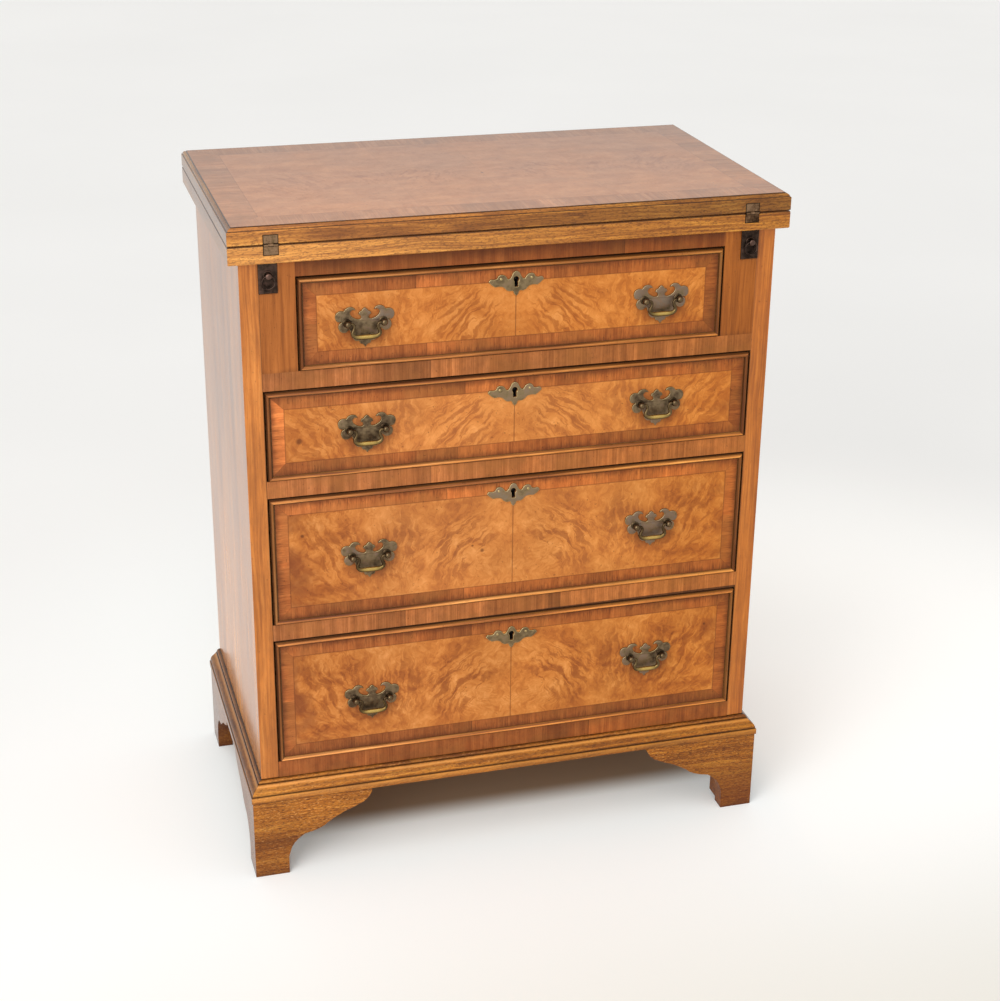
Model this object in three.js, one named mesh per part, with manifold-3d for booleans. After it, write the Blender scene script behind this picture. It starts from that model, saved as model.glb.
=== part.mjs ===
// Bachelors chest: four graduated drawers under a folding top. The upper leaf turns forward on
// two card-table hinges and rests on two pull-out lopers. Millimetres, +Z up, drawers facing -Y,
// +X to the viewer's right. The origin is under the middle of the whole chest, on the floor.

import * as THREE from 'three';
import { mergeVertices } from 'three/addons/utils/BufferGeometryUtils.js';
import Module from 'manifold-3d';

const wasm = await Module();
wasm.setup();

// Feet and base frame
const footHeight = 98.15;
const bracketLength = 141.6;
const bracketThickness = 18;
const backBracketLength = 96;
const legWidth = 38.8;
const glueBlockWidth = 20;
const glueBlockLift = 4;
const baseFrameHeight = 22.55;
const baseFrameSeat = 30;
const baseOverhang = 13.8;
const footSetBack = 1.2;
const mitreGap = 0.3;

// Carcass
const sideThickness = 20.1;
const backThickness = 8;
const backRebate = 10;
const bottomThickness = 19.8;
const railThickness = 19.35;
const railDepth = 50;
const topRailHeight = 18;
const topRailDepth = 45;
const dustBoardThickness = 8;
const dustHousing = 6;
const stopWidth = 40;
const stopDepth = 22;
const stopHeight = 4.5;

// Lopers beside the top drawer, and the stile, guide and runner that hold them
const loperStileWidth = 37.3;
const loperStileDepth = 20;
const loperChannelWidth = 18.7;
const loperChannelHeight = 34.6;
const loperRunnerThickness = 15;
const loperBackClearance = 25.6;
const loperTravel = 225;
const loperSideGap = 0.35;
const loperTopGap = 0.4;
const loperRestGap = 0.3;
const loperPegRadius = 4;
const loperPegLength = 6;
const loperPegGap = 0.6;
const loperPegInset = 14;
const loperPlateWidth = 19.6;
const loperPlateHeight = 33.2;
const loperPlateThickness = 1.6;
const loperPlateGap = 0.3;
const loperBossDrop = 13.7;
const loperBossRadius = 3.3;
const loperBossFlange = 5;
const loperBossFlangeThickness = 1;
const loperBossReach = 7.7;
const loperBossHoleInset = 3.8;
const loperBossHoleRadius = 2.5;
const ringRadius = 6.8;
const ringWire = 1.15;

// Folding top
const leafWidth = 604.6;
const leafDepth = 350.3;
const leafThickness = 19;
const leafGap = 0.4;
const leafFrontOverhang = 10.06;
const leafBackOverhang = 14.64;
const leafEndOverhang = 11.55;
const leafMouldInset = 5.1;
const leafMouldHeight = 4.1;
const leafMouldFillet = 1.2;
const leafMouldStep = 0.8;
const leafArris = 1;
const leafMouldArris = 0.6;

// Card-table hinges in the front edges of the leaves
const hingeInset = 44;
const hingeWidth = 15.6;
const hingeReach = 10.5;
const hingePlateThickness = 1.6;
const hingeAxisReach = 0.3;
const hingeKnuckleRadius = 1.6;
const hingeKnuckleGap = 0.3;
const hingeKnuckleWidth = 5.2;
const hingePinRadius = 0.7;
const hingePinGap = 0.25;
const hingeFit = 0.15;

// Drawers
const drawerTopGap = 2.6;
const drawerFootGap = 0.6;
const drawerSideGap = 2;
const drawerRunGap = 0.3;
const drawerFrontThickness = 19;
const drawerBackClearance = 13.6;
const drawerSideThickness = 10;
const drawerBackThickness = 9;
const drawerSideTopStep = 3;
const drawerBackTopStep = 8;
const drawerBottomThickness = 6;
const drawerBottomLift = 7;
const drawerGrooveDepth = 4;
const grooveGap = 0.25;
const dovetailLap = 5;
const dovetailPitch = 36;
const dovetailFlare = 2.2;
const dovetailPin = 7;
const dovetailGap = 0.2;
const beadWidth = 4.5;
const beadProud = 2.4;
const beadQuirkWidth = 0.8;
const beadQuirkDepth = 0.7;
const lockWidth = 46;
const lockHeight = 34;
const lockProud = 1.2;
const lockTopGap = 5;

// Keyholes and escutcheons
const keyholeRadius = 3.1;
const keyholeSlotWidth = 3.9;
const keyholeDrop = 8.3;
const keyholeDepth = 10;
const drillPinRadius = 1.05;
const drillPinShortfall = 3;
const escutcheonHalfWidth = 30.2;
const escutcheonThickness = 1.2;
const escutcheonPinOffset = 16.7;
const escutcheonPinRise = 1.1;
const escutcheonPinRadius = 1.7;
const escutcheonPinProud = 0.9;

// Batwing pulls
const pullInset = 128.45;
const plateHalfWidth = 31.1;
const plateThickness = 1.4;
const postOffset = 19.2;
const postReach = 6;
const postFlangeRadius = 4.7;
const postFlangeThickness = 1.1;
const postNeckRadius = 2.6;
const postBallRadius = 3.8;
const postHoleRadius = 2.05;
const postHolePastCentre = 0.7;
const bailDrop = 14.6;
const bailTipRadius = 1.5;
const bailGripRadius = 2.6;
const bailTipShortfall = 0.5;

// Drawer openings and keyholes, numbered from the top drawer down
const openingHeight1 = 101.55;
const openingHeight2 = 101.1;
const openingHeight3 = 150.3;
const openingHeight4 = 152.1;
const keyholeBelowTop1 = 19.5;
const keyholeBelowTop2 = 21.7;
const keyholeBelowTop3 = 18.8;
const keyholeBelowTop4 = 25;

// The pulls were set out by eye, so each sits a little off the middle of its drawer. How far below
// is given for the left and the right pull as shares of the opening's height.
const drawers = [
  {
    name: 'drawer_1',
    openingHeight: openingHeight1,
    keyholeBelowTop: keyholeBelowTop1,
    pullDropShares: [0.0217, 0.0256],
  },
  {
    name: 'drawer_2',
    openingHeight: openingHeight2,
    keyholeBelowTop: keyholeBelowTop2,
    pullDropShares: [-0.004, 0.004],
  },
  {
    name: 'drawer_3',
    openingHeight: openingHeight3,
    keyholeBelowTop: keyholeBelowTop3,
    pullDropShares: [0.0113, 0.0086],
  },
  {
    name: 'drawer_4',
    openingHeight: openingHeight4,
    keyholeBelowTop: keyholeBelowTop4,
    pullDropShares: [0.0487, -0.0105],
  },
];

// How finely round work is faceted, and how far a cutter runs past what it cuts
const postSides = 10;
const wireSides = 8;
const ringSteps = 20;
const noseSteps = 5;
const ovoloSteps = 4;
const keyholeArcSteps = 3;
const cutOverrun = 1;

// The moulding of the base frame, as shares of its overhang and its height, from the floor side up
const baseMouldShares = [
  [1, 0],
  [1, 0.29],
  [0.9, 0.32],
  [0.91, 0.37],
  [0.87, 0.47],
  [0.75, 0.58],
  [0.57, 0.67],
  [0.42, 0.75],
  [0.36, 0.82],
  [0.27, 0.82],
  [0.29, 0.87],
  [0.23, 0.94],
  [0.12, 0.98],
  [0, 1],
];

// Lower edge of a foot bracket from its tip to the top of the leg, in stretches that meet at cusps,
// as shares of the bracket's length and the foot's height
const bracketShares = [
  [[0.968, 1], [0.962, 0.94], [0.93, 0.868], [0.866, 0.8], [0.76, 0.744], [0.676, 0.683], [0.606, 0.621]],
  [[0.606, 0.621], [0.563, 0.571], [0.493, 0.53], [0.408, 0.504]],
  [[0.408, 0.504], [0.34, 0.43], [0.298, 0.34]],
];
const legShoulderShare = 0.22;

// Right half of a batwing plate from its foot round to the crest, as shares of its half width,
// measured from the middle between the posts
const batwingShares = [
  [[0, -0.88], [0.08, -0.78], [0.17, -0.75], [0.2, -0.66]],
  [[0.2, -0.66], [0.32, -0.65], [0.42, -0.56], [0.47, -0.4], [0.53, -0.24]],
  [[0.53, -0.24], [0.66, -0.34], [0.82, -0.31], [0.9, -0.17], [0.87, -0.03], [0.78, 0.03]],
  [[0.78, 0.03], [0.93, 0.05], [1, 0.18], [0.97, 0.33], [0.85, 0.41], [0.71, 0.4]],
  [[0.71, 0.4], [0.62, 0.5], [0.5, 0.535], [0.38, 0.5], [0.31, 0.41]],
  [[0.31, 0.41], [0.42, 0.42], [0.5, 0.34], [0.46, 0.22], [0.34, 0.13], [0.2, 0.09], [0.125, 0.13]],
  [[0.125, 0.13], [0.14, 0.21], [0.22, 0.27]],
  [[0.22, 0.27], [0.18, 0.35], [0.12, 0.37]],
  [[0.12, 0.37], [0.07, 0.44], [0, 0.49]],
];

// Right half of an escutcheon from its foot round to the crest, as shares of its half width,
// measured from the centre of the keyhole
const escutcheonShares = [
  [[0, -0.6], [0.07, -0.53], [0.1, -0.45], [0.15, -0.41]],
  [[0.15, -0.41], [0.26, -0.42], [0.37, -0.36], [0.46, -0.27], [0.6, -0.235], [0.76, -0.25]],
  [[0.76, -0.25], [0.88, -0.17], [1, -0.05]],
  [[1, -0.05], [0.93, 0.04], [0.8, 0.03], [0.7, 0.05]],
  [[0.7, 0.05], [0.63, 0.16], [0.52, 0.19], [0.4, 0.14], [0.31, 0.01]],
  [[0.31, 0.01], [0.23, 0.03], [0.17, 0.12], [0.1, 0.25], [0, 0.3]],
];

// Half of a bail's centre line from the tip in its post to the middle of the grip, as shares of
// the post's offset and the bail's drop
const bailShares = [
  [0.84, 0],
  [0.74, -0.01],
  [0.67, -0.09],
  [0.645, -0.26],
  [0.7, -0.47],
  [0.755, -0.66],
  [0.71, -0.85],
  [0.55, -0.97],
  [0.28, -1],
];

// Places worked out from the sizes
const carcassWidth = leafWidth - 2 * leafEndOverhang;
const carcassDepth = leafDepth - leafFrontOverhang - leafBackOverhang;
const sideInner = carcassWidth / 2 - sideThickness;
const backInner = carcassDepth - backThickness;
const baseTop = footHeight + baseFrameHeight;
const bottomTop = baseTop + bottomThickness;
const loperGuideInner = sideInner - loperStileWidth;
const loperChannelInner = sideInner - loperChannelWidth;
const loperCentre = (sideInner + loperChannelInner) / 2;
const leafFront = -leafFrontOverhang;
const leafBack = leafFront + leafDepth;
const drawerBoxDepth = backInner - drawerBackClearance;
const loperLength = backInner - loperBackClearance;
const hingeOffset = leafWidth / 2 - hingeInset;
const pullOffset = carcassWidth / 2 - pullInset;
const footOverhang = baseOverhang - footSetBack;

let shelfTop = bottomTop;
for (const drawer of [...drawers].reverse()) {
  drawer.floor = shelfTop;
  drawer.ceiling = drawer.floor + drawer.openingHeight;
  drawer.openingHalfWidth = sideInner;
  shelfTop = drawer.ceiling + railThickness;
}
const [topDrawer] = drawers;
topDrawer.openingHalfWidth = loperGuideInner;
const carcassTop = topDrawer.ceiling + topRailHeight;
const lowerLeafTop = carcassTop + leafThickness;
const upperLeafFoot = lowerLeafTop + leafGap;
const hingeAxisHeight = lowerLeafTop + leafGap / 2;
const hingeAxisDepth = leafFront - hingeAxisReach;
const loperFloor = carcassTop - loperChannelHeight;

// Finishes
const finishes = {
  burr: { color: 0xcf8645, roughness: 0.34, metalness: 0 },
  crossband: { color: 0xa55f38, roughness: 0.36, metalness: 0 },
  straightWalnut: { color: 0xc98346, roughness: 0.38, metalness: 0 },
  topWalnut: { color: 0xb06a42, roughness: 0.3, metalness: 0 },
  mahogany: { color: 0x94602f, roughness: 0.42, metalness: 0 },
  oak: { color: 0xb58a5a, roughness: 0.7, metalness: 0 },
  pine: { color: 0xc9a472, roughness: 0.75, metalness: 0 },
  antiqueBrass: { color: 0x7d6e46, roughness: 0.36, metalness: 0.9 },
  hingeBrass: { color: 0x7a5f4a, roughness: 0.45, metalness: 0.85 },
  bronze: { color: 0x3a302a, roughness: 0.4, metalness: 0.8 },
};

// Closed bodies and the cuts and joins made with them

function toSolid(geometry) {
  const bare = geometry.clone();
  bare.deleteAttribute('normal');
  bare.deleteAttribute('uv');
  const merged = mergeVertices(bare);
  return new wasm.Manifold(new wasm.Mesh({
    numProp: 3,
    vertProperties: new Float32Array(merged.attributes.position.array),
    triVerts: new Uint32Array(merged.index.array),
  }));
}

function toGeometry(solid) {
  const mesh = solid.getMesh();
  return indexedGeometry(mesh.vertProperties, Array.from(mesh.triVerts));
}

function indexedGeometry(positions, triangles) {
  const geometry = new THREE.BufferGeometry();
  geometry.setAttribute('position', new THREE.Float32BufferAttribute(positions, 3));
  geometry.setIndex(triangles);
  geometry.computeVertexNormals();
  return geometry;
}

function join(first, ...others) {
  return toGeometry(others.reduce((whole, part) => whole.add(toSolid(part)), toSolid(first)));
}

function cut(base, ...cutters) {
  return toGeometry(cutters.reduce((rest, cutter) => rest.subtract(toSolid(cutter)), toSolid(base)));
}

// A rectangular board between two places on each axis.
function block(xSpan, ySpan, zSpan) {
  const geometry = new THREE.BoxGeometry(1, 1, 1);
  const corners = geometry.attributes.position;
  const pick = (side, span) => (side < 0 ? Math.min(...span) : Math.max(...span));
  for (let i = 0; i < corners.count; i += 1) {
    const x = pick(corners.getX(i), xSpan);
    const y = pick(corners.getY(i), ySpan);
    const z = pick(corners.getZ(i), zSpan);
    corners.setXYZ(i, x, y, z);
  }
  return geometry;
}

// An outline carried along one axis. It is drawn in y and z for the x axis, in x and z for y.
function prism(shape, axis, from, to, curveSegments = 1) {
  const settings = { depth: 1, bevelEnabled: false, curveSegments };
  const geometry = new THREE.ExtrudeGeometry(shape, settings);
  const corners = geometry.attributes.position;
  for (let i = 0; i < corners.count; i += 1) {
    const u = corners.getX(i);
    const v = corners.getY(i);
    const atEnd = corners.getZ(i) > 0;
    if (axis === 'x') {
      corners.setXYZ(i, atEnd ? to : from, u, v);
    } else {
      corners.setXYZ(i, u, atEnd ? from : to, v);
    }
  }
  return geometry;
}

// An outline carried through a row of stations, closed flat at both ends. Each station is a
// function that turns a point of the outline into its place.
function loft(outline, stations) {
  const count = outline.length;
  const points = stations.flatMap((station) => outline.map(station));
  const triangles = [];
  for (let ring = 0; ring < stations.length - 1; ring += 1) {
    for (let i = 0; i < count; i += 1) {
      const a = ring * count + i;
      const b = ring * count + ((i + 1) % count);
      triangles.push(a, b, b + count, a, b + count, a + count);
    }
  }
  const windings = THREE.ShapeUtils.isClockWise(outline) ? -1 : 1;
  const last = (stations.length - 1) * count;
  for (const [a, b, c] of THREE.ShapeUtils.triangulateShape(outline, [])) {
    const turned = THREE.ShapeUtils.area([outline[a], outline[b], outline[c]]) * windings < 0;
    const [p, q, r] = turned ? [a, c, b] : [a, b, c];
    triangles.push(p, r, q, last + p, last + q, last + r);
  }
  return indexedGeometry(points.flatMap((point) => point.toArray()), outwardFacing(points, triangles));
}

// Turns every triangle over if together they enclose a negative volume.
function outwardFacing(points, triangles) {
  let volume = 0;
  for (let i = 0; i < triangles.length; i += 3) {
    const [a, b, c] = triangles.slice(i, i + 3).map((corner) => points[corner]);
    volume += a.dot(new THREE.Vector3().crossVectors(b, c));
  }
  return volume < 0 ? triangles.reverse() : triangles;
}

// A board whose four edges carry one profile, mitred at the corners. The profile runs from one
// face to the other as insets from the board's outline and heights above its back.
function profiledBoard(halfWidth, halfHeight, profile, place) {
  const corners = [[-1, -1], [1, -1], [1, 1], [-1, 1]].map(([u, v]) => new THREE.Vector2(u, v));
  const stations = profile.map(([inset, height]) => ({ x: u, y: v }) => (
    place(u * (halfWidth - inset), v * (halfHeight - inset), height)
  ));
  return loft(corners, stations);
}

// A closed outline symmetrical about its middle, from the stretches of its right half.
function mirroredShape(stretches, size) {
  const right = stretches.map((stretch) => stretch.map(([x, z]) => new THREE.Vector2(x * size, z * size)));
  const left = right.map((stretch) => stretch.map(({ x, y }) => new THREE.Vector2(-x, y)).reverse());
  const shape = new THREE.Shape();
  shape.moveTo(right[0][0].x, right[0][0].y);
  for (const stretch of [...right, ...left.reverse()]) {
    shape.splineThru(stretch.slice(1));
  }
  return shape;
}

function cylinderAlongX(radius, from, to, y, z, sides) {
  const shape = new THREE.Shape();
  for (let i = 0; i < sides; i += 1) {
    const angle = (i / sides) * Math.PI * 2;
    const u = y + radius * Math.cos(angle);
    const v = z + radius * Math.sin(angle);
    if (i === 0) {
      shape.moveTo(u, v);
    } else {
      shape.lineTo(u, v);
    }
  }
  return prism(shape, 'x', Math.min(from, to), Math.max(from, to));
}

// A turned form whose axis runs forward from the plane y = 0, from pairs of radius and reach.
function turnedForward(profile) {
  const points = profile.map(([radius, reach]) => new THREE.Vector2(radius, reach));
  return new THREE.LatheGeometry(points, postSides).rotateZ(Math.PI);
}

function addPiece(parent, name, geometry, finish, place = new THREE.Vector3()) {
  const piece = new THREE.Mesh(geometry, new THREE.MeshStandardMaterial(finish));
  piece.name = name;
  piece.position.copy(place);
  parent.add(piece);
  return piece;
}

// Feet

function bracketShape(outer, towards) {
  const place = ([along, up]) => new THREE.Vector2(outer + towards * along * bracketLength, up * footHeight);
  const legInner = outer + towards * legWidth;
  const shape = new THREE.Shape();
  shape.moveTo(outer, 0);
  shape.lineTo(outer, footHeight);
  const [tip] = bracketShares[0];
  shape.lineTo(place(tip).x, place(tip).y);
  for (const stretch of bracketShares) {
    shape.splineThru(stretch.slice(1).map(place));
  }
  shape.lineTo(legInner, legShoulderShare * footHeight);
  shape.lineTo(legInner, 0);
  return shape;
}

function plainBracketShape(outer, towards) {
  const shape = new THREE.Shape();
  shape.moveTo(outer, 0);
  shape.lineTo(outer, footHeight);
  shape.lineTo(outer + towards * backBracketLength, footHeight);
  shape.lineTo(outer + towards * legWidth, 0);
  return shape;
}

function foot(side, atFront) {
  const outerX = side * (carcassWidth / 2 + footOverhang);
  const innerX = outerX - side * bracketThickness;
  const outerY = atFront ? -footOverhang : carcassDepth;
  const inward = atFront ? 1 : -1;
  const innerY = outerY + inward * bracketThickness;
  const crossShape = atFront ? bracketShape(outerX, -side) : plainBracketShape(outerX, -side);
  const cross = prism(crossShape, 'y', Math.min(outerY, innerY), Math.max(outerY, innerY));
  const returnShape = bracketShape(outerY, inward);
  const returned = prism(returnShape, 'x', Math.min(outerX, innerX), Math.max(outerX, innerX));
  const glueBlock = block(
    [innerX + side * cutOverrun, innerX - side * glueBlockWidth],
    [innerY - inward * cutOverrun, innerY + inward * glueBlockWidth],
    [glueBlockLift, footHeight],
  );
  return join(cross, returned, glueBlock);
}

// Base frame

function baseOutline() {
  const moulded = baseMouldShares.map(([out, up]) => (
    new THREE.Vector2(out * baseOverhang, footHeight + up * baseFrameHeight)
  ));
  return [
    ...moulded,
    new THREE.Vector2(-baseFrameSeat, baseTop),
    new THREE.Vector2(-baseFrameSeat, footHeight),
  ];
}

function baseFront() {
  const end = (side) => ({ x: out, y: z }) => (
    new THREE.Vector3(side * (carcassWidth / 2 + out - mitreGap / 2), -out, z)
  );
  return loft(baseOutline(), [end(-1), end(1)]);
}

function baseSide(side) {
  const x = (out) => side * (carcassWidth / 2 + out);
  const mitred = ({ x: out, y: z }) => new THREE.Vector3(x(out), -out + mitreGap / 2, z);
  const square = ({ x: out, y: z }) => new THREE.Vector3(x(out), carcassDepth, z);
  return loft(baseOutline(), [mitred, square]);
}

function baseBack() {
  const reach = carcassWidth / 2 - baseFrameSeat;
  return block([-reach, reach], [carcassDepth - baseFrameSeat, carcassDepth], [footHeight, baseTop]);
}

// Carcass

function sidePanel(side) {
  const inner = side * sideInner;
  const panel = block([inner, side * carcassWidth / 2], [0, carcassDepth], [baseTop, carcassTop]);
  const clearInner = inner - side * cutOverrun;
  const rebate = block(
    [clearInner, inner + side * backRebate],
    [backInner, carcassDepth + cutOverrun],
    [baseTop - cutOverrun, carcassTop + cutOverrun],
  );
  const housings = drawers.slice(0, -1).map(({ floor }) => block(
    [clearInner, inner + side * dustHousing],
    [railDepth - dustHousing, backInner + cutOverrun],
    [floor - dustBoardThickness, floor],
  ));
  return cut(panel, rebate, ...housings);
}

function backPanel() {
  const reach = sideInner + backRebate;
  return block([-reach, reach], [backInner, carcassDepth], [baseTop, carcassTop]);
}

// The two small blocks that stop a drawer front flush with the rails.
function drawerStops({ floor, openingHalfWidth }) {
  const front = drawerFrontThickness + drawerRunGap;
  return [-1, 1].map((side) => {
    const centre = side * openingHalfWidth / 2;
    return block(
      [centre - stopWidth / 2, centre + stopWidth / 2],
      [front, front + stopDepth],
      [floor - cutOverrun, floor + stopHeight],
    );
  });
}

function bottomBoard(drawer) {
  const board = block([-sideInner, sideInner], [0, backInner], [baseTop, bottomTop]);
  return join(board, ...drawerStops(drawer));
}

function drawerRail(drawer) {
  const { floor } = drawer;
  const rail = block([-sideInner, sideInner], [0, railDepth], [floor - railThickness, floor]);
  const reach = sideInner + dustHousing;
  const dustBoard = block(
    [-reach, reach],
    [railDepth - dustHousing, backInner],
    [floor - dustBoardThickness, floor],
  );
  return join(rail, dustBoard, ...drawerStops(drawer));
}

function topRail() {
  return block([-loperGuideInner, loperGuideInner], [0, topRailDepth], [topDrawer.ceiling, carcassTop]);
}

// Lopers

const loperPegFromFront = loperLength - loperPegInset;

function loperCase(side) {
  const inner = side * loperGuideInner;
  const channel = side * loperChannelInner;
  const { floor } = topDrawer;
  const stile = block([inner, side * sideInner], [0, loperStileDepth], [floor, loperFloor]);
  const guide = block([inner, channel], [0, backInner], [floor, carcassTop]);
  const runner = block(
    [inner, side * sideInner],
    [0, backInner],
    [loperFloor - loperRunnerThickness, loperFloor],
  );
  const slotRadius = loperPegRadius + loperPegGap;
  const slotBottom = channel - side * (loperPegLength + loperPegGap);
  const slotCentre = loperFloor + loperChannelHeight / 2;
  const slot = block(
    [channel + side * cutOverrun, slotBottom],
    [loperPegFromFront - loperTravel - slotRadius, backInner + cutOverrun],
    [slotCentre - slotRadius, slotCentre + slotRadius],
  );
  return cut(join(stile, guide, runner), slot);
}

function loper(side) {
  const channel = side * loperChannelInner;
  const inner = channel + side * loperSideGap;
  const outer = side * (sideInner - loperSideGap);
  const top = carcassTop - loperTopGap;
  const bar = block([inner, outer], [-loperPlateGap, loperLength], [loperFloor + loperRestGap, top]);
  const pegTip = channel - side * loperPegLength;
  const pegHeight = loperFloor + loperChannelHeight / 2;
  const pegEnd = inner + side * cutOverrun;
  const peg = cylinderAlongX(loperPegRadius, pegTip, pegEnd, loperPegFromFront, pegHeight, postSides);
  const centre = side * loperCentre;
  const plateBack = -loperPlateGap;
  const plateFront = plateBack - loperPlateThickness;
  const plate = block(
    [centre - loperPlateWidth / 2, centre + loperPlateWidth / 2],
    [plateBack, plateFront],
    [top - loperPlateHeight, top],
  );
  const bossHeight = top - loperBossDrop;
  const boss = turnedForward([
    [0, 0],
    [loperBossFlange, 0],
    [loperBossFlange, loperPlateThickness + loperBossFlangeThickness / 2],
    [loperBossRadius, loperPlateThickness + loperBossFlangeThickness],
    [loperBossRadius, loperBossReach],
    [loperBossRadius / 2, loperBossReach + loperBossRadius / 2],
    [0, loperBossReach + loperBossRadius / 2],
  ]).translate(centre, plateBack, bossHeight);
  const hole = cylinderAlongX(
    loperBossHoleRadius,
    centre - loperBossFlange,
    centre + loperBossFlange,
    plateFront - loperBossHoleInset,
    bossHeight,
    postSides,
  );
  return cut(join(bar, peg, plate, boss), hole);
}

// A drop ring hanging from the origin.
function dropRing() {
  return new THREE.TorusGeometry(ringRadius, ringWire, wireSides, ringSteps)
    .rotateX(Math.PI / 2)
    .translate(0, 0, -ringRadius);
}

const ringPivotDepth = -loperPlateGap - loperPlateThickness - loperBossHoleInset;
const ringPivotHeight = carcassTop - loperTopGap - loperBossDrop;

// Folding top

function hingeRecess(side, plateFoot, plateTop) {
  const centre = side * hingeOffset;
  const reach = hingeWidth / 2 + hingeFit;
  const plateRoom = block(
    [centre - reach, centre + reach],
    [leafFront - cutOverrun, leafFront + hingePlateThickness + hingeFit],
    [plateFoot, plateTop],
  );
  return [plateRoom, knuckleCylinder(side, hingeKnuckleRadius + hingeKnuckleGap, -reach, reach)];
}

function knuckleCylinder(side, radius, from, to) {
  const centre = side * hingeOffset;
  return cylinderAlongX(radius, centre + from, centre + to, hingeAxisDepth, hingeAxisHeight, postSides);
}

function leafBoard(foot, profile) {
  const centreDepth = leafFront + leafDepth / 2;
  const place = (u, v, height) => new THREE.Vector3(u, centreDepth + v, foot + height);
  return profiledBoard(leafWidth / 2, leafDepth / 2, profile, place);
}

function lowerLeaf() {
  const board = leafBoard(carcassTop, [
    [leafArris, 0],
    [0, leafArris],
    [0, leafThickness - leafArris],
    [leafArris, leafThickness],
  ]);
  const plateFoot = lowerLeafTop - hingeReach - hingeFit;
  const recesses = [-1, 1].flatMap((side) => hingeRecess(side, plateFoot, lowerLeafTop + cutOverrun));
  return cut(board, ...recesses);
}

function upperLeaf() {
  const ovoloRun = leafMouldInset - leafMouldFillet;
  const ovoloFoot = leafThickness - leafMouldHeight;
  const ovoloRise = leafMouldHeight - leafMouldStep;
  const ovolo = Array.from({ length: ovoloSteps + 1 }, (unused, step) => {
    const angle = (step / ovoloSteps) * (Math.PI / 2);
    const inset = leafMouldFillet + ovoloRun * (1 - Math.cos(angle));
    return [inset, ovoloFoot + ovoloRise * Math.sin(angle)];
  });
  const board = leafBoard(upperLeafFoot, [
    [leafArris, 0],
    [0, leafArris],
    [0, ovoloFoot - leafMouldArris],
    [leafMouldArris, ovoloFoot],
    ...ovolo,
    [leafMouldInset, leafThickness],
  ]);
  const plateTop = upperLeafFoot + hingeReach + hingeFit;
  const recesses = [-1, 1].flatMap((side) => hingeRecess(side, upperLeafFoot - cutOverrun, plateTop));
  return cut(board, ...recesses);
}

function hingePlate(side, foot, top) {
  const centre = side * hingeOffset;
  return block(
    [centre - hingeWidth / 2, centre + hingeWidth / 2],
    [leafFront, leafFront + hingePlateThickness],
    [foot, top],
  );
}

function lowerHinge(side) {
  const half = hingeWidth / 2;
  const innerEnd = hingeKnuckleWidth / 2;
  const plate = hingePlate(side, lowerLeafTop - hingeReach, lowerLeafTop);
  const middleRoom = innerEnd + hingeKnuckleGap;
  const room = knuckleCylinder(side, hingeKnuckleRadius + hingeKnuckleGap, -middleRoom, middleRoom);
  const knuckles = [-1, 1].map((end) => (
    knuckleCylinder(side, hingeKnuckleRadius, end * half, end * middleRoom)
  ));
  const pin = knuckleCylinder(side, hingePinRadius, -half, half);
  return join(cut(plate, room), ...knuckles, pin);
}

function upperHinge(side) {
  const half = hingeWidth / 2 + hingeKnuckleGap;
  const innerEnd = hingeKnuckleWidth / 2;
  const plate = hingePlate(side, upperLeafFoot, upperLeafFoot + hingeReach);
  const rooms = [-1, 1].map((end) => (
    knuckleCylinder(side, hingeKnuckleRadius + hingeKnuckleGap, end * half, end * innerEnd)
  ));
  const knuckle = knuckleCylinder(side, hingeKnuckleRadius, -innerEnd, innerEnd);
  const bore = knuckleCylinder(side, hingePinRadius + hingePinGap, -half, half);
  return cut(join(cut(plate, ...rooms), knuckle), bore);
}

// Drawers, each built from the front corner of its opening's floor

// Heights of the foot and head of each tail along a drawer side.
function tailSpans(foot, top) {
  const count = Math.max(2, Math.round((top - foot) / dovetailPitch));
  const pitch = (top - foot - dovetailPin) / count;
  return Array.from({ length: count }, (unused, i) => {
    const start = foot + dovetailPin + i * pitch;
    return [start, start + pitch - dovetailPin];
  });
}

function sideShape(foot, top) {
  const shape = new THREE.Shape();
  shape.moveTo(drawerBoxDepth, foot);
  shape.lineTo(drawerFrontThickness, foot);
  for (const [low, high] of tailSpans(foot, top)) {
    shape.lineTo(drawerFrontThickness, low);
    shape.lineTo(dovetailLap, low - dovetailFlare);
    shape.lineTo(dovetailLap, high + dovetailFlare);
    shape.lineTo(drawerFrontThickness, high);
  }
  shape.lineTo(drawerFrontThickness, top);
  shape.lineTo(drawerBoxDepth, top);
  return shape;
}

function tailSockets(side, halfWidth, foot, top) {
  const inner = halfWidth - drawerSideThickness - dovetailGap;
  const outer = halfWidth + cutOverrun;
  const from = side < 0 ? -outer : inner;
  const to = side < 0 ? -inner : outer;
  const mouth = drawerFrontThickness + cutOverrun;
  const slope = dovetailFlare / (drawerFrontThickness - dovetailLap);
  return tailSpans(foot, top).map(([low, high]) => {
    const deepFlare = dovetailFlare + dovetailGap + slope * dovetailGap;
    const mouthFlare = dovetailGap - slope * cutOverrun;
    const shape = new THREE.Shape();
    shape.moveTo(mouth, low - mouthFlare);
    shape.lineTo(dovetailLap - dovetailGap, low - deepFlare);
    shape.lineTo(dovetailLap - dovetailGap, high + deepFlare);
    shape.lineTo(mouth, high + mouthFlare);
    return prism(shape, 'x', from, to);
  });
}

function keyholeShape() {
  const shape = new THREE.Shape();
  const halfSlot = keyholeSlotWidth / 2;
  const slotAngle = Math.asin(halfSlot / keyholeRadius);
  const start = -Math.PI / 2 + slotAngle;
  const end = (3 * Math.PI) / 2 - slotAngle;
  shape.moveTo(-halfSlot, -keyholeDrop);
  shape.lineTo(halfSlot, -keyholeDrop);
  shape.absarc(0, 0, keyholeRadius, start, end, false);
  return shape;
}

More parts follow.
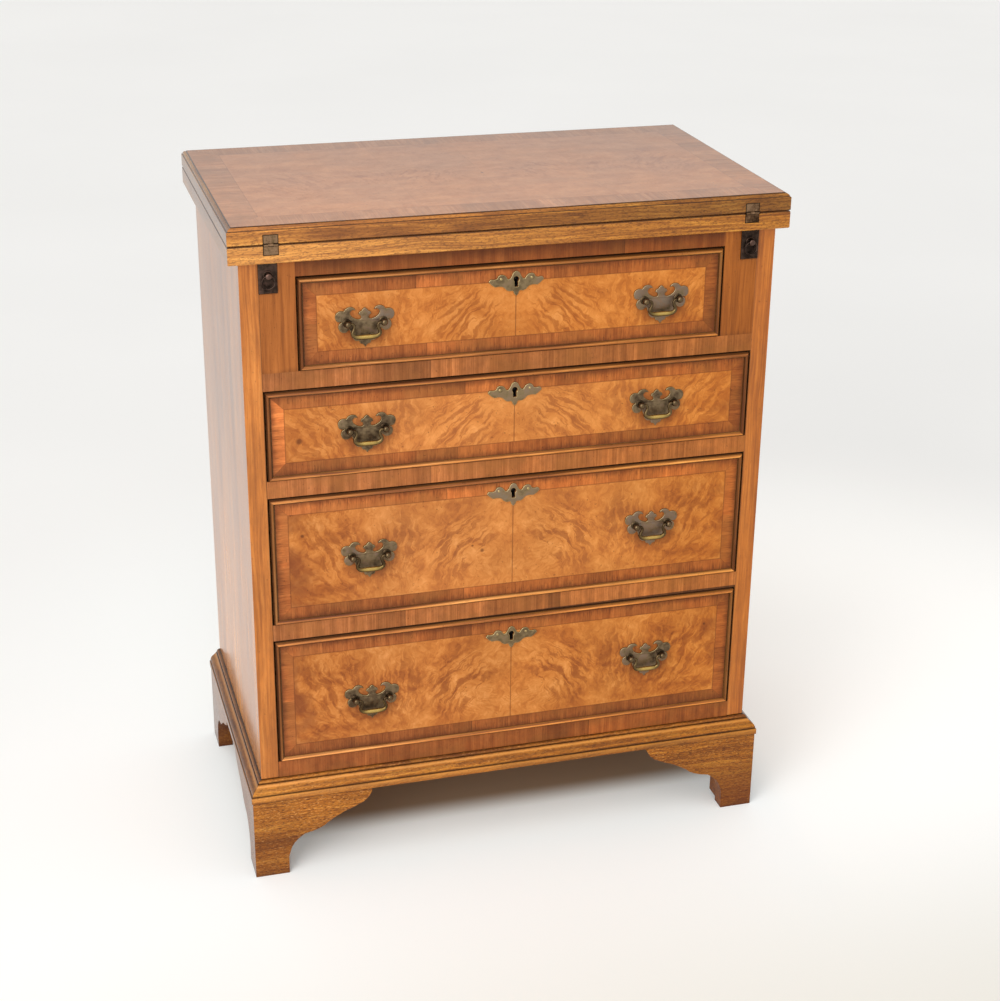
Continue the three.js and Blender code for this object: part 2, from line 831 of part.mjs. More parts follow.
function drawerPlan(drawer) {
  const height = drawer.ceiling - drawer.floor;
  const foot = drawerRunGap;
  const sideTop = height - drawerTopGap - drawerSideTopStep;
  const bottomFoot = foot + drawerBottomLift;
  return {
    height,
    foot,
    sideTop,
    bottomFoot,
    bottomTop: bottomFoot + drawerBottomThickness,
    frontFoot: drawerFootGap,
    frontTop: height - drawerTopGap,
    halfWidth: drawer.openingHalfWidth - drawerSideGap,
    keyhole: height - drawer.keyholeBelowTop,
  };
}

function bottomGroove(plan, front, back, reach) {
  return block(
    [-reach, reach],
    [front, back],
    [plan.bottomFoot - grooveGap, plan.bottomTop + grooveGap],
  );
}

function drawerFront(plan) {
  const bead = Array.from({ length: noseSteps + 1 }, (unused, step) => {
    const angle = (step / noseSteps) * Math.PI;
    return [(beadWidth / 2) * (1 - Math.cos(angle)), beadProud * Math.sin(angle)];
  });
  const profile = [
    [0, -drawerFrontThickness],
    ...bead,
    [beadWidth, -beadQuirkDepth],
    [beadWidth + beadQuirkWidth, -beadQuirkDepth],
    [beadWidth + beadQuirkWidth, 0],
  ];
  const middle = (plan.frontFoot + plan.frontTop) / 2;
  const place = (u, v, height) => new THREE.Vector3(u, -height, middle + v);
  const board = profiledBoard(plan.halfWidth, plan.frontTop - middle, profile, place);
  const sockets = [-1, 1].flatMap((side) => tailSockets(side, plan.halfWidth, plan.foot, plan.sideTop));
  const grooveFront = drawerFrontThickness - drawerGrooveDepth - grooveGap;
  const grooveReach = plan.halfWidth - drawerSideThickness + drawerGrooveDepth + grooveGap;
  const groove = bottomGroove(plan, grooveFront, drawerFrontThickness + cutOverrun, grooveReach);
  const keyhole = prism(keyholeShape(), 'y', -cutOverrun, keyholeDepth, keyholeArcSteps)
    .translate(0, 0, plan.keyhole);
  const lockTop = plan.frontTop - lockTopGap;
  const lock = block(
    [-lockWidth / 2, lockWidth / 2],
    [drawerFrontThickness - cutOverrun, drawerFrontThickness + lockProud],
    [lockTop - lockHeight, lockTop],
  );
  const pin = turnedForward([
    [0, -cutOverrun],
    [drillPinRadius, -cutOverrun],
    [drillPinRadius, keyholeDepth - drillPinShortfall],
    [0, keyholeDepth - drillPinShortfall],
  ]).translate(0, keyholeDepth, plan.keyhole);
  return join(cut(join(board, lock), ...sockets, groove, keyhole), pin);
}

function drawerBox(plan) {
  const inner = plan.halfWidth - drawerSideThickness;
  const shape = sideShape(plan.foot, plan.sideTop);
  const sides = [prism(shape, 'x', -plan.halfWidth, -inner), prism(shape, 'x', inner, plan.halfWidth)];
  const back = block(
    [-inner - cutOverrun, inner + cutOverrun],
    [drawerBoxDepth - drawerBackThickness, drawerBoxDepth],
    [plan.bottomTop + grooveGap, plan.sideTop - drawerBackTopStep],
  );
  const grooveReach = inner + drawerGrooveDepth + grooveGap;
  const groove = bottomGroove(plan, 0, drawerBoxDepth + cutOverrun, grooveReach);
  return join(cut(join(...sides), groove), back);
}

function drawerBottom(plan) {
  const reach = plan.halfWidth - drawerSideThickness + drawerGrooveDepth;
  return block(
    [-reach, reach],
    [drawerFrontThickness - drawerGrooveDepth, drawerBoxDepth],
    [plan.bottomFoot, plan.bottomTop],
  );
}

function escutcheon() {
  const outline = mirroredShape(escutcheonShares, escutcheonHalfWidth);
  const plate = prism(outline, 'y', -escutcheonThickness, 0);
  const cutFront = -escutcheonThickness - cutOverrun;
  const keyhole = prism(keyholeShape(), 'y', cutFront, cutOverrun, keyholeArcSteps);
  const pins = [-1, 1].map((side) => turnedForward([
    [0, escutcheonThickness / 2],
    [escutcheonPinRadius, escutcheonThickness / 2],
    [escutcheonPinRadius, escutcheonThickness],
    [escutcheonPinRadius / 2, escutcheonThickness + escutcheonPinProud],
    [0, escutcheonThickness + escutcheonPinProud],
  ]).translate(side * escutcheonPinOffset, 0, escutcheonPinRise));
  return join(cut(plate, keyhole), ...pins);
}

// Batwing back plate with two ball posts, each drilled from its inner side for the bail's tip.
function pullPlate() {
  const plate = prism(mirroredShape(batwingShares, plateHalfWidth), 'y', -plateThickness, 0);
  const pivot = plateThickness + postReach;
  const ballStart = pivot - Math.sqrt(postBallRadius ** 2 - postNeckRadius ** 2);
  const ballWaist = postBallRadius * Math.SQRT1_2;
  const posts = [-1, 1].map((side) => turnedForward([
    [0, plateThickness / 2],
    [postFlangeRadius, plateThickness / 2],
    [postFlangeRadius, plateThickness + postFlangeThickness / 2],
    [postNeckRadius, plateThickness + postFlangeThickness],
    [postNeckRadius, ballStart],
    [postBallRadius, pivot],
    [ballWaist, pivot + ballWaist],
    [0, pivot + postBallRadius],
  ]).translate(side * postOffset, 0, 0));
  const holes = [-1, 1].map((side) => cylinderAlongX(
    postHoleRadius,
    side * (postOffset - postBallRadius - cutOverrun),
    side * (postOffset + postHolePastCentre),
    -pivot,
    0,
    wireSides,
  ));
  return cut(join(plate, ...posts), ...holes);
}

// Swan-neck bail hanging from the line between its tips, thickest at the middle of the grip.
function bail() {
  const right = bailShares.map(([x, z]) => new THREE.Vector3(x * postOffset, 0, z * bailDrop));
  const tip = new THREE.Vector3(postOffset - bailTipShortfall, 0, 0);
  const left = [tip, ...right].map(({ x, z }) => new THREE.Vector3(-x, 0, z));
  const grip = new THREE.Vector3(0, 0, -bailDrop);
  const line = [...left, grip, ...right.reverse(), tip];
  const curve = new THREE.CatmullRomCurve3(line, false, 'centripetal');
  const section = Array.from({ length: wireSides }, (unused, i) => {
    const angle = ((i + 1 / 2) / wireSides) * Math.PI * 2;
    return new THREE.Vector2(Math.cos(angle), Math.sin(angle));
  });
  const spans = line.length - 1;
  const stations = line.map((centre, i) => {
    const share = i / spans;
    const along = curve.getTangent(share);
    const across = new THREE.Vector3(-along.z, 0, along.x);
    const radius = bailTipRadius + (bailGripRadius - bailTipRadius) * Math.sin(share * Math.PI) ** 2;
    return ({ x: u, y: v }) => (
      new THREE.Vector3(0, radius * v, 0).add(centre).addScaledVector(across, radius * u)
    );
  });
  return loft(section, stations);
}

// Assembly, built with the carcass front on y = 0

const chest = new THREE.Group();

const carcass = new THREE.Group();
chest.add(carcass);
const sideNames = [['left', -1], ['right', 1]];
for (const [name, side] of sideNames) {
  addPiece(carcass, `foot_front_${name}`, foot(side, true), finishes.mahogany);
  addPiece(carcass, `foot_back_${name}`, foot(side, false), finishes.mahogany);
  addPiece(carcass, `base_frame_${name}`, baseSide(side), finishes.mahogany);
  addPiece(carcass, `side_${name}`, sidePanel(side), finishes.straightWalnut);
  addPiece(carcass, `loper_case_${name}`, loperCase(side), finishes.crossband);
  addPiece(carcass, `hinge_lower_${name}`, lowerHinge(side), finishes.hingeBrass);
}
addPiece(carcass, 'base_frame_front', baseFront(), finishes.mahogany);
addPiece(carcass, 'base_frame_back', baseBack(), finishes.pine);
addPiece(carcass, 'back_panel', backPanel(), finishes.pine);
addPiece(carcass, 'bottom_board', bottomBoard(drawers[drawers.length - 1]), finishes.crossband);
for (const drawer of drawers.slice(0, -1)) {
  addPiece(carcass, `rail_under_${drawer.name}`, drawerRail(drawer), finishes.crossband);
}
addPiece(carcass, 'top_rail', topRail(), finishes.crossband);
addPiece(carcass, 'lower_leaf', lowerLeaf(), finishes.straightWalnut);

const flap = new THREE.Group();
chest.add(flap);
addPiece(flap, 'upper_leaf', upperLeaf(), finishes.topWalnut);
for (const [name, side] of sideNames) {
  addPiece(flap, `hinge_upper_${name}`, upperHinge(side), finishes.hingeBrass);
}

for (const [name, side] of sideNames) {
  addPiece(chest, `loper_${name}`, loper(side), finishes.straightWalnut);
  const pivot = new THREE.Vector3(side * loperCentre, ringPivotDepth, ringPivotHeight);
  addPiece(chest, `loper_ring_${name}`, dropRing(), finishes.bronze, pivot);
}

const escutcheonBody = escutcheon();
const pullPlateBody = pullPlate();
const bailBody = bail();
for (const drawer of drawers) {
  const { name } = drawer;
  const plan = drawerPlan(drawer);
  const group = new THREE.Group();
  group.position.z = drawer.floor;
  chest.add(group);
  addPiece(group, `${name}_front`, drawerFront(plan), finishes.burr);
  addPiece(group, `${name}_box`, drawerBox(plan), finishes.oak);
  addPiece(group, `${name}_bottom`, drawerBottom(plan), finishes.pine);
  const keyholePlace = new THREE.Vector3(0, 0, plan.keyhole);
  addPiece(group, `${name}_escutcheon`, escutcheonBody, finishes.antiqueBrass, keyholePlace);
  sideNames.forEach(([sideName, side], i) => {
    const height = plan.height * (1 / 2 - drawer.pullDropShares[i]);
    const place = new THREE.Vector3(side * pullOffset, 0, height);
    const pivot = new THREE.Vector3(side * pullOffset, -plateThickness - postReach, height);
    addPiece(group, `${name}_pull_plate_${sideName}`, pullPlateBody, finishes.antiqueBrass, place);
    addPiece(group, `${name}_bail_${sideName}`, bailBody, finishes.antiqueBrass, pivot);
  });
}

// The origin goes under the middle of the chest as a whole, pulls and overhangs included.
const pullReach = plateThickness + postReach + postBallRadius;
chest.position.y = (Math.max(pullReach, baseOverhang) - leafBack) / 2;

export default chest;
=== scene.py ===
"""Bachelors chest in walnut: burr-veneered drawers in cross-grained borders, brass batwing pulls,
and a folding top whose upper leaf turns forward onto two lopers. Lengths are in metres, and those of
fittings, which MM converts, in millimetres."""

import math
from collections import namedtuple

import bpy
import numpy as np
from mathutils import Matrix, Vector
from mathutils.geometry import tessellate_polygon


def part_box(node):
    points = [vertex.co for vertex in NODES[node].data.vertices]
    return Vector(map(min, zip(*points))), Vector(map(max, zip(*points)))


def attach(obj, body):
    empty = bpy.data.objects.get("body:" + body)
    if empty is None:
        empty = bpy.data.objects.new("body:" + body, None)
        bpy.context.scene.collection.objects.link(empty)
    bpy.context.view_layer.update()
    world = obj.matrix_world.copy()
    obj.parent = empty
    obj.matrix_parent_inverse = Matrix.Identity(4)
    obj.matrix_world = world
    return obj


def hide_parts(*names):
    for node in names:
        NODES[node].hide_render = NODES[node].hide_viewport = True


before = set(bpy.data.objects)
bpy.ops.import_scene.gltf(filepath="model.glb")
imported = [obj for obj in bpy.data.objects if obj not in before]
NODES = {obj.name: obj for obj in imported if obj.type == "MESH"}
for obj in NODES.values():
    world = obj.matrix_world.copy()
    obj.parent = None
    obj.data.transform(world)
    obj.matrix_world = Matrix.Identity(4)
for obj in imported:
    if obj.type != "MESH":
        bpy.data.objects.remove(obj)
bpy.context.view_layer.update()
MM = 0.001

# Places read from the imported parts
CARCASS_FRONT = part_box("side_left")[0].y
CARCASS_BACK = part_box("side_left")[1].y
CARCASS_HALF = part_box("side_right")[1].x
SIDE_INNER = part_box("side_right")[0].x
SIDES = {"left": -1, "right": 1}
DRAWERS = (1, 2, 3, 4)


# Shading language

def paint(red, green, blue):
    """A colour as it looks on a screen, 0 to 255, turned into the linear values that shaders use."""
    def linear(level):
        share = level / 255
        return share / 12.92 if share <= 0.04045 else ((share + 0.055) / 1.055) ** 2.4
    return (linear(red), linear(green), linear(blue), 1.0)


class Value:
    """A number or colour that varies over a surface, with the usual arithmetic."""

    def __init__(self, shade, socket):
        self.shade = shade
        self.socket = socket

    def __add__(self, other):
        return self.shade.math("ADD", self, other)

    def __sub__(self, other):
        return self.shade.math("SUBTRACT", self, other)

    def __rsub__(self, other):
        return self.shade.math("SUBTRACT", other, self)

    def __mul__(self, other):
        return self.shade.math("MULTIPLY", self, other)

    def __abs__(self):
        return self.shade.math("ABSOLUTE", self)


class Shade:
    """Places nodes in one tree. Any input takes a number, a colour or another node's output."""

    def __init__(self, tree):
        self.tree = tree

    def feed(self, socket, value):
        if isinstance(value, Value):
            value = value.socket
        if isinstance(value, bpy.types.NodeSocket):
            self.tree.links.new(value, socket)
        else:
            socket.default_value = value

    def add(self, kind, settings=(), inputs=()):
        node = self.tree.nodes.new("ShaderNode" + kind)
        for name, value in dict(settings).items():
            setattr(node, name, value)
        for name, value in dict(inputs).items():
            self.feed(node.inputs[name], value)
        return node

    def math(self, operation, *values):
        node = self.add("Math", {"operation": operation})
        for socket, value in zip(node.inputs, values):
            self.feed(socket, value)
        return Value(self, node.outputs[0])

    def least(self, a, b):
        return self.math("MINIMUM", a, b)

    def most(self, a, b):
        return self.math("MAXIMUM", a, b)

    def above(self, a, b):
        return self.math("GREATER_THAN", a, b)

    def ease(self, value, low, high, start=0.0, end=1.0):
        """Runs smoothly from start to end while the value goes from low to high."""
        node = self.add("MapRange", {"interpolation_type": "SMOOTHSTEP"}, {
            "Value": value, "From Min": low, "From Max": high, "To Min": start, "To Max": end})
        return Value(self, node.outputs["Result"])

    def fade(self, value, low, high, start=1.0):
        """Falls smoothly from start to 0 while the value goes from low to high."""
        return self.ease(value, low, high, start, 0.0)

    def blend(self, settings, first, output, share, a, b):
        node = self.add("Mix", settings)
        for index, value in ((0, share), (first, a), (first + 1, b)):
            self.feed(node.inputs[index], value)
        return Value(self, node.outputs[output])

    def between(self, share, a, b):
        """The number a where the share is 0 and b where it is 1."""
        return self.blend({"data_type": "FLOAT"}, 2, 0, share, a, b)

    def mix(self, share, a, b, kind="MIX"):
        """Colour a where the share is 0 and colour b where it is 1."""
        return self.blend({"data_type": "RGBA", "blend_type": kind}, 6, 2, share, a, b)

    def over(self, colour, *layers):
        """The colour under layers of stain, each a share and the red, green and blue it brings."""
        for share, hue in layers:
            colour = self.mix(share, colour, paint(*hue))
        return colour

    def ramp(self, value, stops):
        """A colour that runs through the stops, each a place from 0 to 1 and its colour."""
        node = self.add("ValToRGB", (), {"Fac": value})
        marks = node.color_ramp.elements
        while len(marks) < len(stops):
            marks.new(0.5)
        for mark, (place, colour) in zip(marks, stops):
            mark.position = place
            mark.color = colour
        return Value(self, node.outputs["Color"])

    def tint(self, colour, factor):
        """A colour made darker or lighter by a factor that varies over the surface."""
        node = self.add("VectorMath", {"operation": "SCALE"}, {"Scale": factor})
        self.feed(node.inputs[0], colour)
        return Value(self, node.outputs[0])

    def vector(self, x, y, z):
        return self.add("CombineXYZ", (), {"X": x, "Y": y, "Z": z}).outputs[0]

    def split(self, vector):
        node = self.add("SeparateXYZ", (), {"Vector": vector})
        return [Value(self, output) for output in node.outputs]

    def place(self):
        """The three object coordinates of the point being shaded."""
        return self.split(self.add("TexCoord").outputs["Object"])

    def noise(self, x, y, z, detail=2.0, roughness=0.5, distortion=0.0, output="Fac"):
        node = self.add("TexNoise", {"noise_dimensions": "3D"}, {
            "Vector": self.vector(x, y, z), "Scale": 1.0, "Detail": detail,
            "Roughness": roughness, "Distortion": distortion})
        return Value(self, node.outputs[output])

    def sway(self, x, y, z):
        """Three slow noises, each running either side of zero."""
        return [part - 0.5 for part in self.split(self.noise(x, y, z, output="Color"))]

    def near(self, a, b, inner, outer, drift=0.0):
        """1 where two offsets lie within the inner distance, falling to 0 at the outer one."""
        return self.fade(self.math("SQRT", a * a + b * b) + drift, inner, outer)

    def stock(self, name):
        """A number kept on the mesh's points."""
        return Value(self, self.add("Attribute", {"attribute_name": name}).outputs["Fac"])

    def use(self, group, **inputs):
        """Places a shared group and gives its outputs by name."""
        node = self.add("Group", {"node_tree": group})
        for name, value in inputs.items():
            self.feed(node.inputs[name.replace("_", " ")], value)
        return {output.name: Value(self, output) for output in node.outputs}


def shared_group(name, build, *inputs):
    """A node group: build gets its Shade and inputs by name, and returns its outputs by name."""
    tree = bpy.data.node_groups.new(name, "ShaderNodeTree")
    for label in inputs:
        kind = "NodeSocketVector" if label == "Vector" else "NodeSocketFloat"
        tree.interface.new_socket(name=label, in_out="INPUT", socket_type=kind)
    entry = tree.nodes.new("NodeGroupInput")
    shade = Shade(tree)
    found = build(shade, {output.name: Value(shade, output) for output in entry.outputs if output.name})
    for label in found:
        tree.interface.new_socket(name=label, in_out="OUTPUT", socket_type="NodeSocketFloat")
    leave = tree.nodes.new("NodeGroupOutput")
    for label, value in found.items():
        shade.feed(leave.inputs[label], value)
    return tree


# Effects that several finishes share

def build_grain(s, given):
    """Long grain along the first coordinate: noise stretched that way gives streaks, broad bands
    and short dark pores."""
    x, y, z = s.split(given["Vector"])
    y = y + given["Seed"] * 1.37
    sway = s.sway(x * 6.0, y * 14.0, z * 14.0)
    y = y + sway[0] * given["Wander"] * 2.0
    z = z + sway[1] * given["Wander"] * 2.0
    fine = given["Fineness"]
    streaks = s.noise(x * 9.0, y * 420.0 * fine, z * 420.0 * fine, 3.0, 0.62)
    bands = s.noise(x * 2.4, y * 60.0 * fine, z * 60.0 * fine)
    pores = s.noise(x * 120.0, y * 1150.0, z * 1150.0, 1.0)
    return {"Tone": s.ease(bands * 0.45 + streaks * 0.55, 0.3, 0.7), "Pores": s.ease(pores, 0.60, 0.72)}


def build_burr(s, given):
    """Burr figure, u out from the seam and v up. Slow, quick and fine noise bend the place. Two fans
    of streaks, each noise over the turn and reach about its own heel, lie over clouds, and broken
    rings run along the levels of a slow noise, as round the buds of a burr."""
    u, v = s.split(given["Vector"])[:2]
    seed = given["Seed"]
    slow = s.sway(u * 13.0, v * 13.0, seed)
    quick = s.sway(u * 75.0, v * 75.0, seed + 5.0)
    fine = s.sway(u * 230.0, v * 230.0, seed + 9.0)
    bent_u, bent_v = (place + slow[i] * 0.042 + quick[i] * 0.011 + fine[i] * 0.0026
                      for i, place in enumerate((u, v)))

    def fan(heel_u, heel_v, fineness, shift):
        across, up = bent_u - heel_u, bent_v - heel_v
        reach = s.math("SQRT", across * across + up * up)
        turn = s.math("ARCTAN2", up, across)
        return s.noise(turn * fineness, reach * 40.0, seed + shift, 3.0, 0.58)

    heel = given["Heel"]
    drift = slow[2] * 0.06
    near_seam = s.near(u - 0.060, v * 1.1 + 0.006, 0.014, 0.062, drift)
    outer = s.near(u - 0.205, v * 0.9, 0.020, 0.075, drift)
    middle = s.near(u - 0.130, v * 0.8, 0.010, 0.050, drift)
    low_fan = s.ease(fan(-0.045, heel, 34.0, 11.0), 0.38, 0.56)
    high_fan = s.ease(fan(0.130, heel * -1.2, 27.0, 23.0), 0.40, 0.58)
    upright = s.ease(s.noise(bent_u * 210.0, bent_v * 48.0, seed + 29.0, 3.0, 0.6), 0.38, 0.60)
    streaks = near_seam * (1.0 - low_fan) + outer * (1.0 - high_fan) * 0.7 + middle * (1.0 - upright) * 0.7
    cloud = s.noise(bent_u * 40.0, bent_v * 46.0, seed + 17.0, 3.0, 0.55)
    curl = s.noise(bent_u * 200.0, bent_v * 130.0, seed + 13.0, 3.0, 0.62, 0.8)
    level = s.noise(bent_u * 22.0, bent_v * 22.0, seed + 19.0, 1.0)
    rings = s.math("PINGPONG", level * 34.0, 0.5) * 2.0
    broken = s.ease(s.noise(u * 85.0, v * 85.0, seed + 31.0), 0.42, 0.60)
    ringed = s.ease(slow[2], -0.05, 0.10) * broken
    tone = cloud * 0.42 + curl * 0.27 + (rings - 0.5) * ringed * 0.07 - streaks * 0.10 + 0.165
    return {"Tone": s.ease(tone, 0.28, 0.72), "Streaks": s.ease(streaks, 0.10, 0.95), "Curl": curl}


def build_blocks(s, given):
    """How bright a cross-grained strip is along its length: slow noise, short pieces of veneer,
    and one joint with a darker piece before it and a brighter one after."""
    along, seed = given["Along"], given["Seed"]
    past = along - given["Joint"]
    drift = s.noise(along * 13.0, seed, 0.0, 3.0, 0.6) - 0.5
    cells = s.add("TexVoronoi", {"voronoi_dimensions": "3D", "feature": "F1"}, {
        "Vector": s.vector(along * 19.0, seed, 0.0), "Scale": 1.0, "Randomness": 0.7})
    step = s.split(cells.outputs["Color"])[0] - 0.5
    bright = s.above(past, 0.0) * s.fade(past, 0.010, 0.060)
    dark = s.above(0.0, past) * s.ease(past, -0.110, -0.020)
    return {
        "Tone": drift * 0.70 + step * 0.26 + bright * 0.26 - dark * 0.17 + 1.0,
        "Joint": s.fade(abs(past), 0.0002, 0.0006),
    }


def build_border(s, given):
    """A rectangle with a mitred border: inside, which way the border strip runs, and its edges."""
    from_u = given["Half U"] - abs(given["U"])
    from_v = given["Half V"] - abs(given["V"])
    nearest = s.least(from_u, from_v)
    inner_edge = abs(nearest - given["Band"])
    mitre = abs(from_u - from_v)
    ring = s.above(given["Band"], nearest)
    return {
        "Inside": s.above(nearest, given["Band"]),
        "Runs along U": s.above(from_u, from_v),
        "From edge": nearest,
        "Corner": s.fade(from_u + from_v, 0.004, 0.030),
        "Line": s.most(s.fade(inner_edge, 0.0002, 0.0008),
                       s.fade(mitre, 0.0001, 0.0007, 0.7) * ring),
    }


def build_handling(s, given):
    """Marks of use: soft smudges, small dark specks, and hairline scratches in two directions."""
    x, y, z = s.split(given["Vector"])
    seed = given["Seed"]
    smudge = s.noise(x * 13.0 + seed, y * 13.0, z * 13.0, 4.0, 0.6)
    speck = s.noise(x * 330.0, y * 330.0 + seed, z * 330.0, 1.0)
    one = s.noise(x * 900.0 + z * 250.0, y * 60.0, z * 18.0 + seed, 1.0)
    two = s.noise(x * 16.0 - z * 6.0, y * 60.0, z * 880.0 + x * 300.0 + seed, 1.0)
    return {
        "Smudge": s.ease(smudge, 0.32, 0.7),
        "Specks": s.ease(speck, 0.70, 0.78),
        "Scratches": s.most(s.ease(one, 0.74, 0.80), s.ease(two, 0.75, 0.81)),
    }


GRAIN = shared_group("long_grain", build_grain, "Vector", "Fineness", "Wander", "Seed")
BURR = shared_group("burr_figure", build_burr, "Vector", "Heel", "Seed")
BLOCKS = shared_group("veneer_blocks", build_blocks, "Along", "Joint", "Seed")
BORDER = shared_group("mitred_border", build_border, "U", "V", "Half U", "Half V", "Band")
HANDLING = shared_group("handling_marks", build_handling, "Vector", "Seed")


# Finishes

def finish_material(name, build, *details, metallic=0.0, specular=0.3, bump=0.0004):
    """A material. Its build gets a Shade, the place and the details, and returns colour, roughness
    and height."""
    material = bpy.data.materials.new(name)
    material.use_nodes = True
    material.node_tree.nodes.clear()
    s = Shade(material.node_tree)
    colour, roughness, height = build(s, *s.place(), *details)
    relief = s.add("Bump", (), {"Strength": 0.6, "Distance": bump, "Height": height})
    surface = s.add("BsdfPrincipled", (), {
        "Base Color": colour, "Roughness": roughness, "Metallic": metallic, "IOR": 1.5,
        "Specular IOR Level": specular, "Normal": relief.outputs["Normal"]})
    s.add("OutputMaterial", (), {"Surface": surface.outputs[0]})
    return material


def shades(colours):
    """Stops for a ramp: colours as red, green and blue, spread evenly from 0 to 1."""
    return [(i / (len(colours) - 1), paint(*colour)) for i, colour in enumerate(colours)]


WOOD = {wood: shades(colours) for wood, colours in {
    "burr": ((140, 72, 28), (174, 98, 40), (195, 118, 52), (211, 135, 68), (230, 156, 92)),
    "border": ((132, 68, 29), (145, 78, 35), (155, 86, 40), (164, 93, 45), (175, 103, 52)),
    "rail": ((132, 74, 36), (147, 86, 43), (159, 95, 50), (170, 103, 57), (183, 114, 65)),
    "straight": ((142, 76, 26), (168, 96, 34), (188, 111, 42), (208, 130, 58)),
    "stile": ((128, 69, 27), (155, 88, 36), (171, 100, 44), (188, 114, 54)),
    "bead": ((100, 46, 14), (152, 88, 36), (192, 122, 58), (228, 160, 92)),
    "edge": ((110, 60, 20), (152, 94, 36), (182, 120, 50), (208, 148, 72)),
    "panel": ((158, 96, 58), (182, 119, 76), (197, 135, 90), (216, 154, 108)),
    "outside": ((138, 84, 40), (158, 100, 47), (175, 113, 53), (194, 130, 64)),
    "mahogany": ((98, 50, 10), (140, 80, 20), (168, 101, 30), (200, 134, 50)),
    "lining": ((150, 108, 66), (182, 138, 88), (204, 164, 112)),
    "board": ((166, 122, 74), (196, 154, 100), (216, 180, 128)),
}.items()}
# Dark brown for real dirt in joints and specks, and for painted shade in gaps, quirks, creases and under overhangs.
DIRT_AND_SHADE = (44, 20, 8)
# Brown for real stain at knots and grime near the beads, and for painted shade in the fronts' corners and gaps and
# painted shadow round the pull plates.
STAIN_AND_SHADE = (84, 38, 14)
SEAM = (92, 44, 18)
NO_JOINT = 9.0


def over_width(s, x, left, right, half=0.27):
    """Runs from the left value to the right one over the width of the chest."""
    return s.ease(x, -half, half, left, right)


def painted_light_falloff(s, colour, x):
    """The same colour, browner toward the right of the chest: painted light falloff from left to right."""
    right = over_width(s, x, 0.0, 1.0, 0.29)
    return s.mix(1.0, colour, s.mix(right, (1.0, 1.0, 1.0, 1), (1.0, 0.95, 0.67, 1)), "MULTIPLY")


def straight_wood(s, along, across, depth, wood, fineness, wander, seed, pores=0.3):
    """The colour of long grain that runs along the first coordinate."""
    grain = s.use(GRAIN, Vector=s.vector(along, across, depth), Fineness=fineness, Wander=wander, Seed=seed)
    return s.mix(grain["Pores"] * pores, s.ramp(grain["Tone"], WOOD[wood]), WOOD[wood][0][1])


def cross_strip(s, along, across, depth, joint, seed, wood="border"):
    """Cross-grained walnut in pieces along a strip."""
    blocks = s.use(BLOCKS, Along=along, Joint=joint, Seed=seed)
    colour = s.tint(straight_wood(s, across, along, depth, wood, 2.8, 0.002, seed, 0.6), blocks["Tone"])
    mottle = s.noise(along * 62.0, across * 52.0, seed, 5.0, 0.66)
    olive = s.ease(s.noise(along * 24.0, across * 30.0, seed + 4.0), 0.46, 0.66)
    colour = s.over(s.tint(colour, mottle * 1.1 + 0.46), (olive * 0.35, (146, 92, 44)))
    if wood == "panel":
        colour = s.over(colour, (0.35, (187, 125, 81)))
    return s.over(colour, (blocks["Joint"] * 0.5, DIRT_AND_SHADE))


def worn(s, colour, x, y, z, seed, strength):
    """The same colour with smudges and specks of handling, and how strong the smudges are."""
    marks = s.use(HANDLING, Vector=s.vector(x, y, z), Seed=seed)
    colour = s.tint(colour, s.between(marks["Smudge"], 1.0 - strength, 1.0 + strength * 0.4))
    return s.over(colour, (marks["Specks"] * 0.4, DIRT_AND_SHADE)), marks["Smudge"]


def behind_front(s, y, start=0.0008, end=0.0016):
    """0 on the show surface of a front, 1 on the timber behind it."""
    return s.ease(y, CARCASS_FRONT + start, CARCASS_FRONT + end)


def carcass_timber(s, along, across, depth, y, fineness, seed):
    """Plain timber, darker in its first two centimetres behind the front: painted shade in the drawer gaps."""
    colour = straight_wood(s, along, across, depth, "board", fineness, 0.02, seed, 0.4)
    return s.over(colour, (s.fade(y, CARCASS_FRONT + 0.016, CARCASS_FRONT + 0.026, 0.88), DIRT_AND_SHADE))


def centre_and_half(node):
    """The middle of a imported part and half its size."""
    low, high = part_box(node)
    return (low + high) / 2, (high - low) / 2


BEAD = 0.0046
BORDER_WIDTH = 0.0143
ESCUTCHEON_HALF = 30.2
ESCUTCHEON_FOOT = 0.6
KEYHOLE_FROM_FOOT = ESCUTCHEON_FOOT * ESCUTCHEON_HALF * MM
LOCK_HALF = 0.0235
LOCK_DEPTH = 0.0191
LOCK_HOLE_HALF = (0.0045, 0.0100)
LOCK_HOLE_DROP = 0.0035
# The pairs of ends and smoke are left and right. Those of beads (painted light and shade), rows and joints are low
# and high.
# A knot has its place to the right and up, and its size.
DrawerLook = namedtuple("DrawerLook", "tone figure bloom ends smoke beads rows joints knots")
DRAWER_LOOK = {
    1: DrawerLook(1.00, 0.80, 0.000, (0.98, 0.78), (0.40, 0.45), (0.92, 0.75), (0.97, 0.99), (-0.097, -0.108), ()),
    2: DrawerLook(1.03, 0.84, 0.050, (1.90, 0.95), (0.15, 0.72), (1.00, 0.92), (0.96, 1.05), (-0.063, -0.055),
                  ((-0.235, -0.007, 0.0036),)),
    3: DrawerLook(0.98, 0.97, 0.052, (1.26, 1.22), (0.75, 0.45), (1.08, 1.05), (0.98, 1.40), (-0.056, -0.075),
                  ((-0.235, 0.029, 0.0022), (-0.035, -0.011, 0.0024), (-0.046, -0.004, 0.0014))),
    4: DrawerLook(0.95, 1.06, 0.018, (1.12, 1.04), (0.80, 0.50), (1.28, 1.26), (0.80, 1.07), (-0.046, -0.047),
                  ((0.2345, 0.0335, 0.0017),)),
}


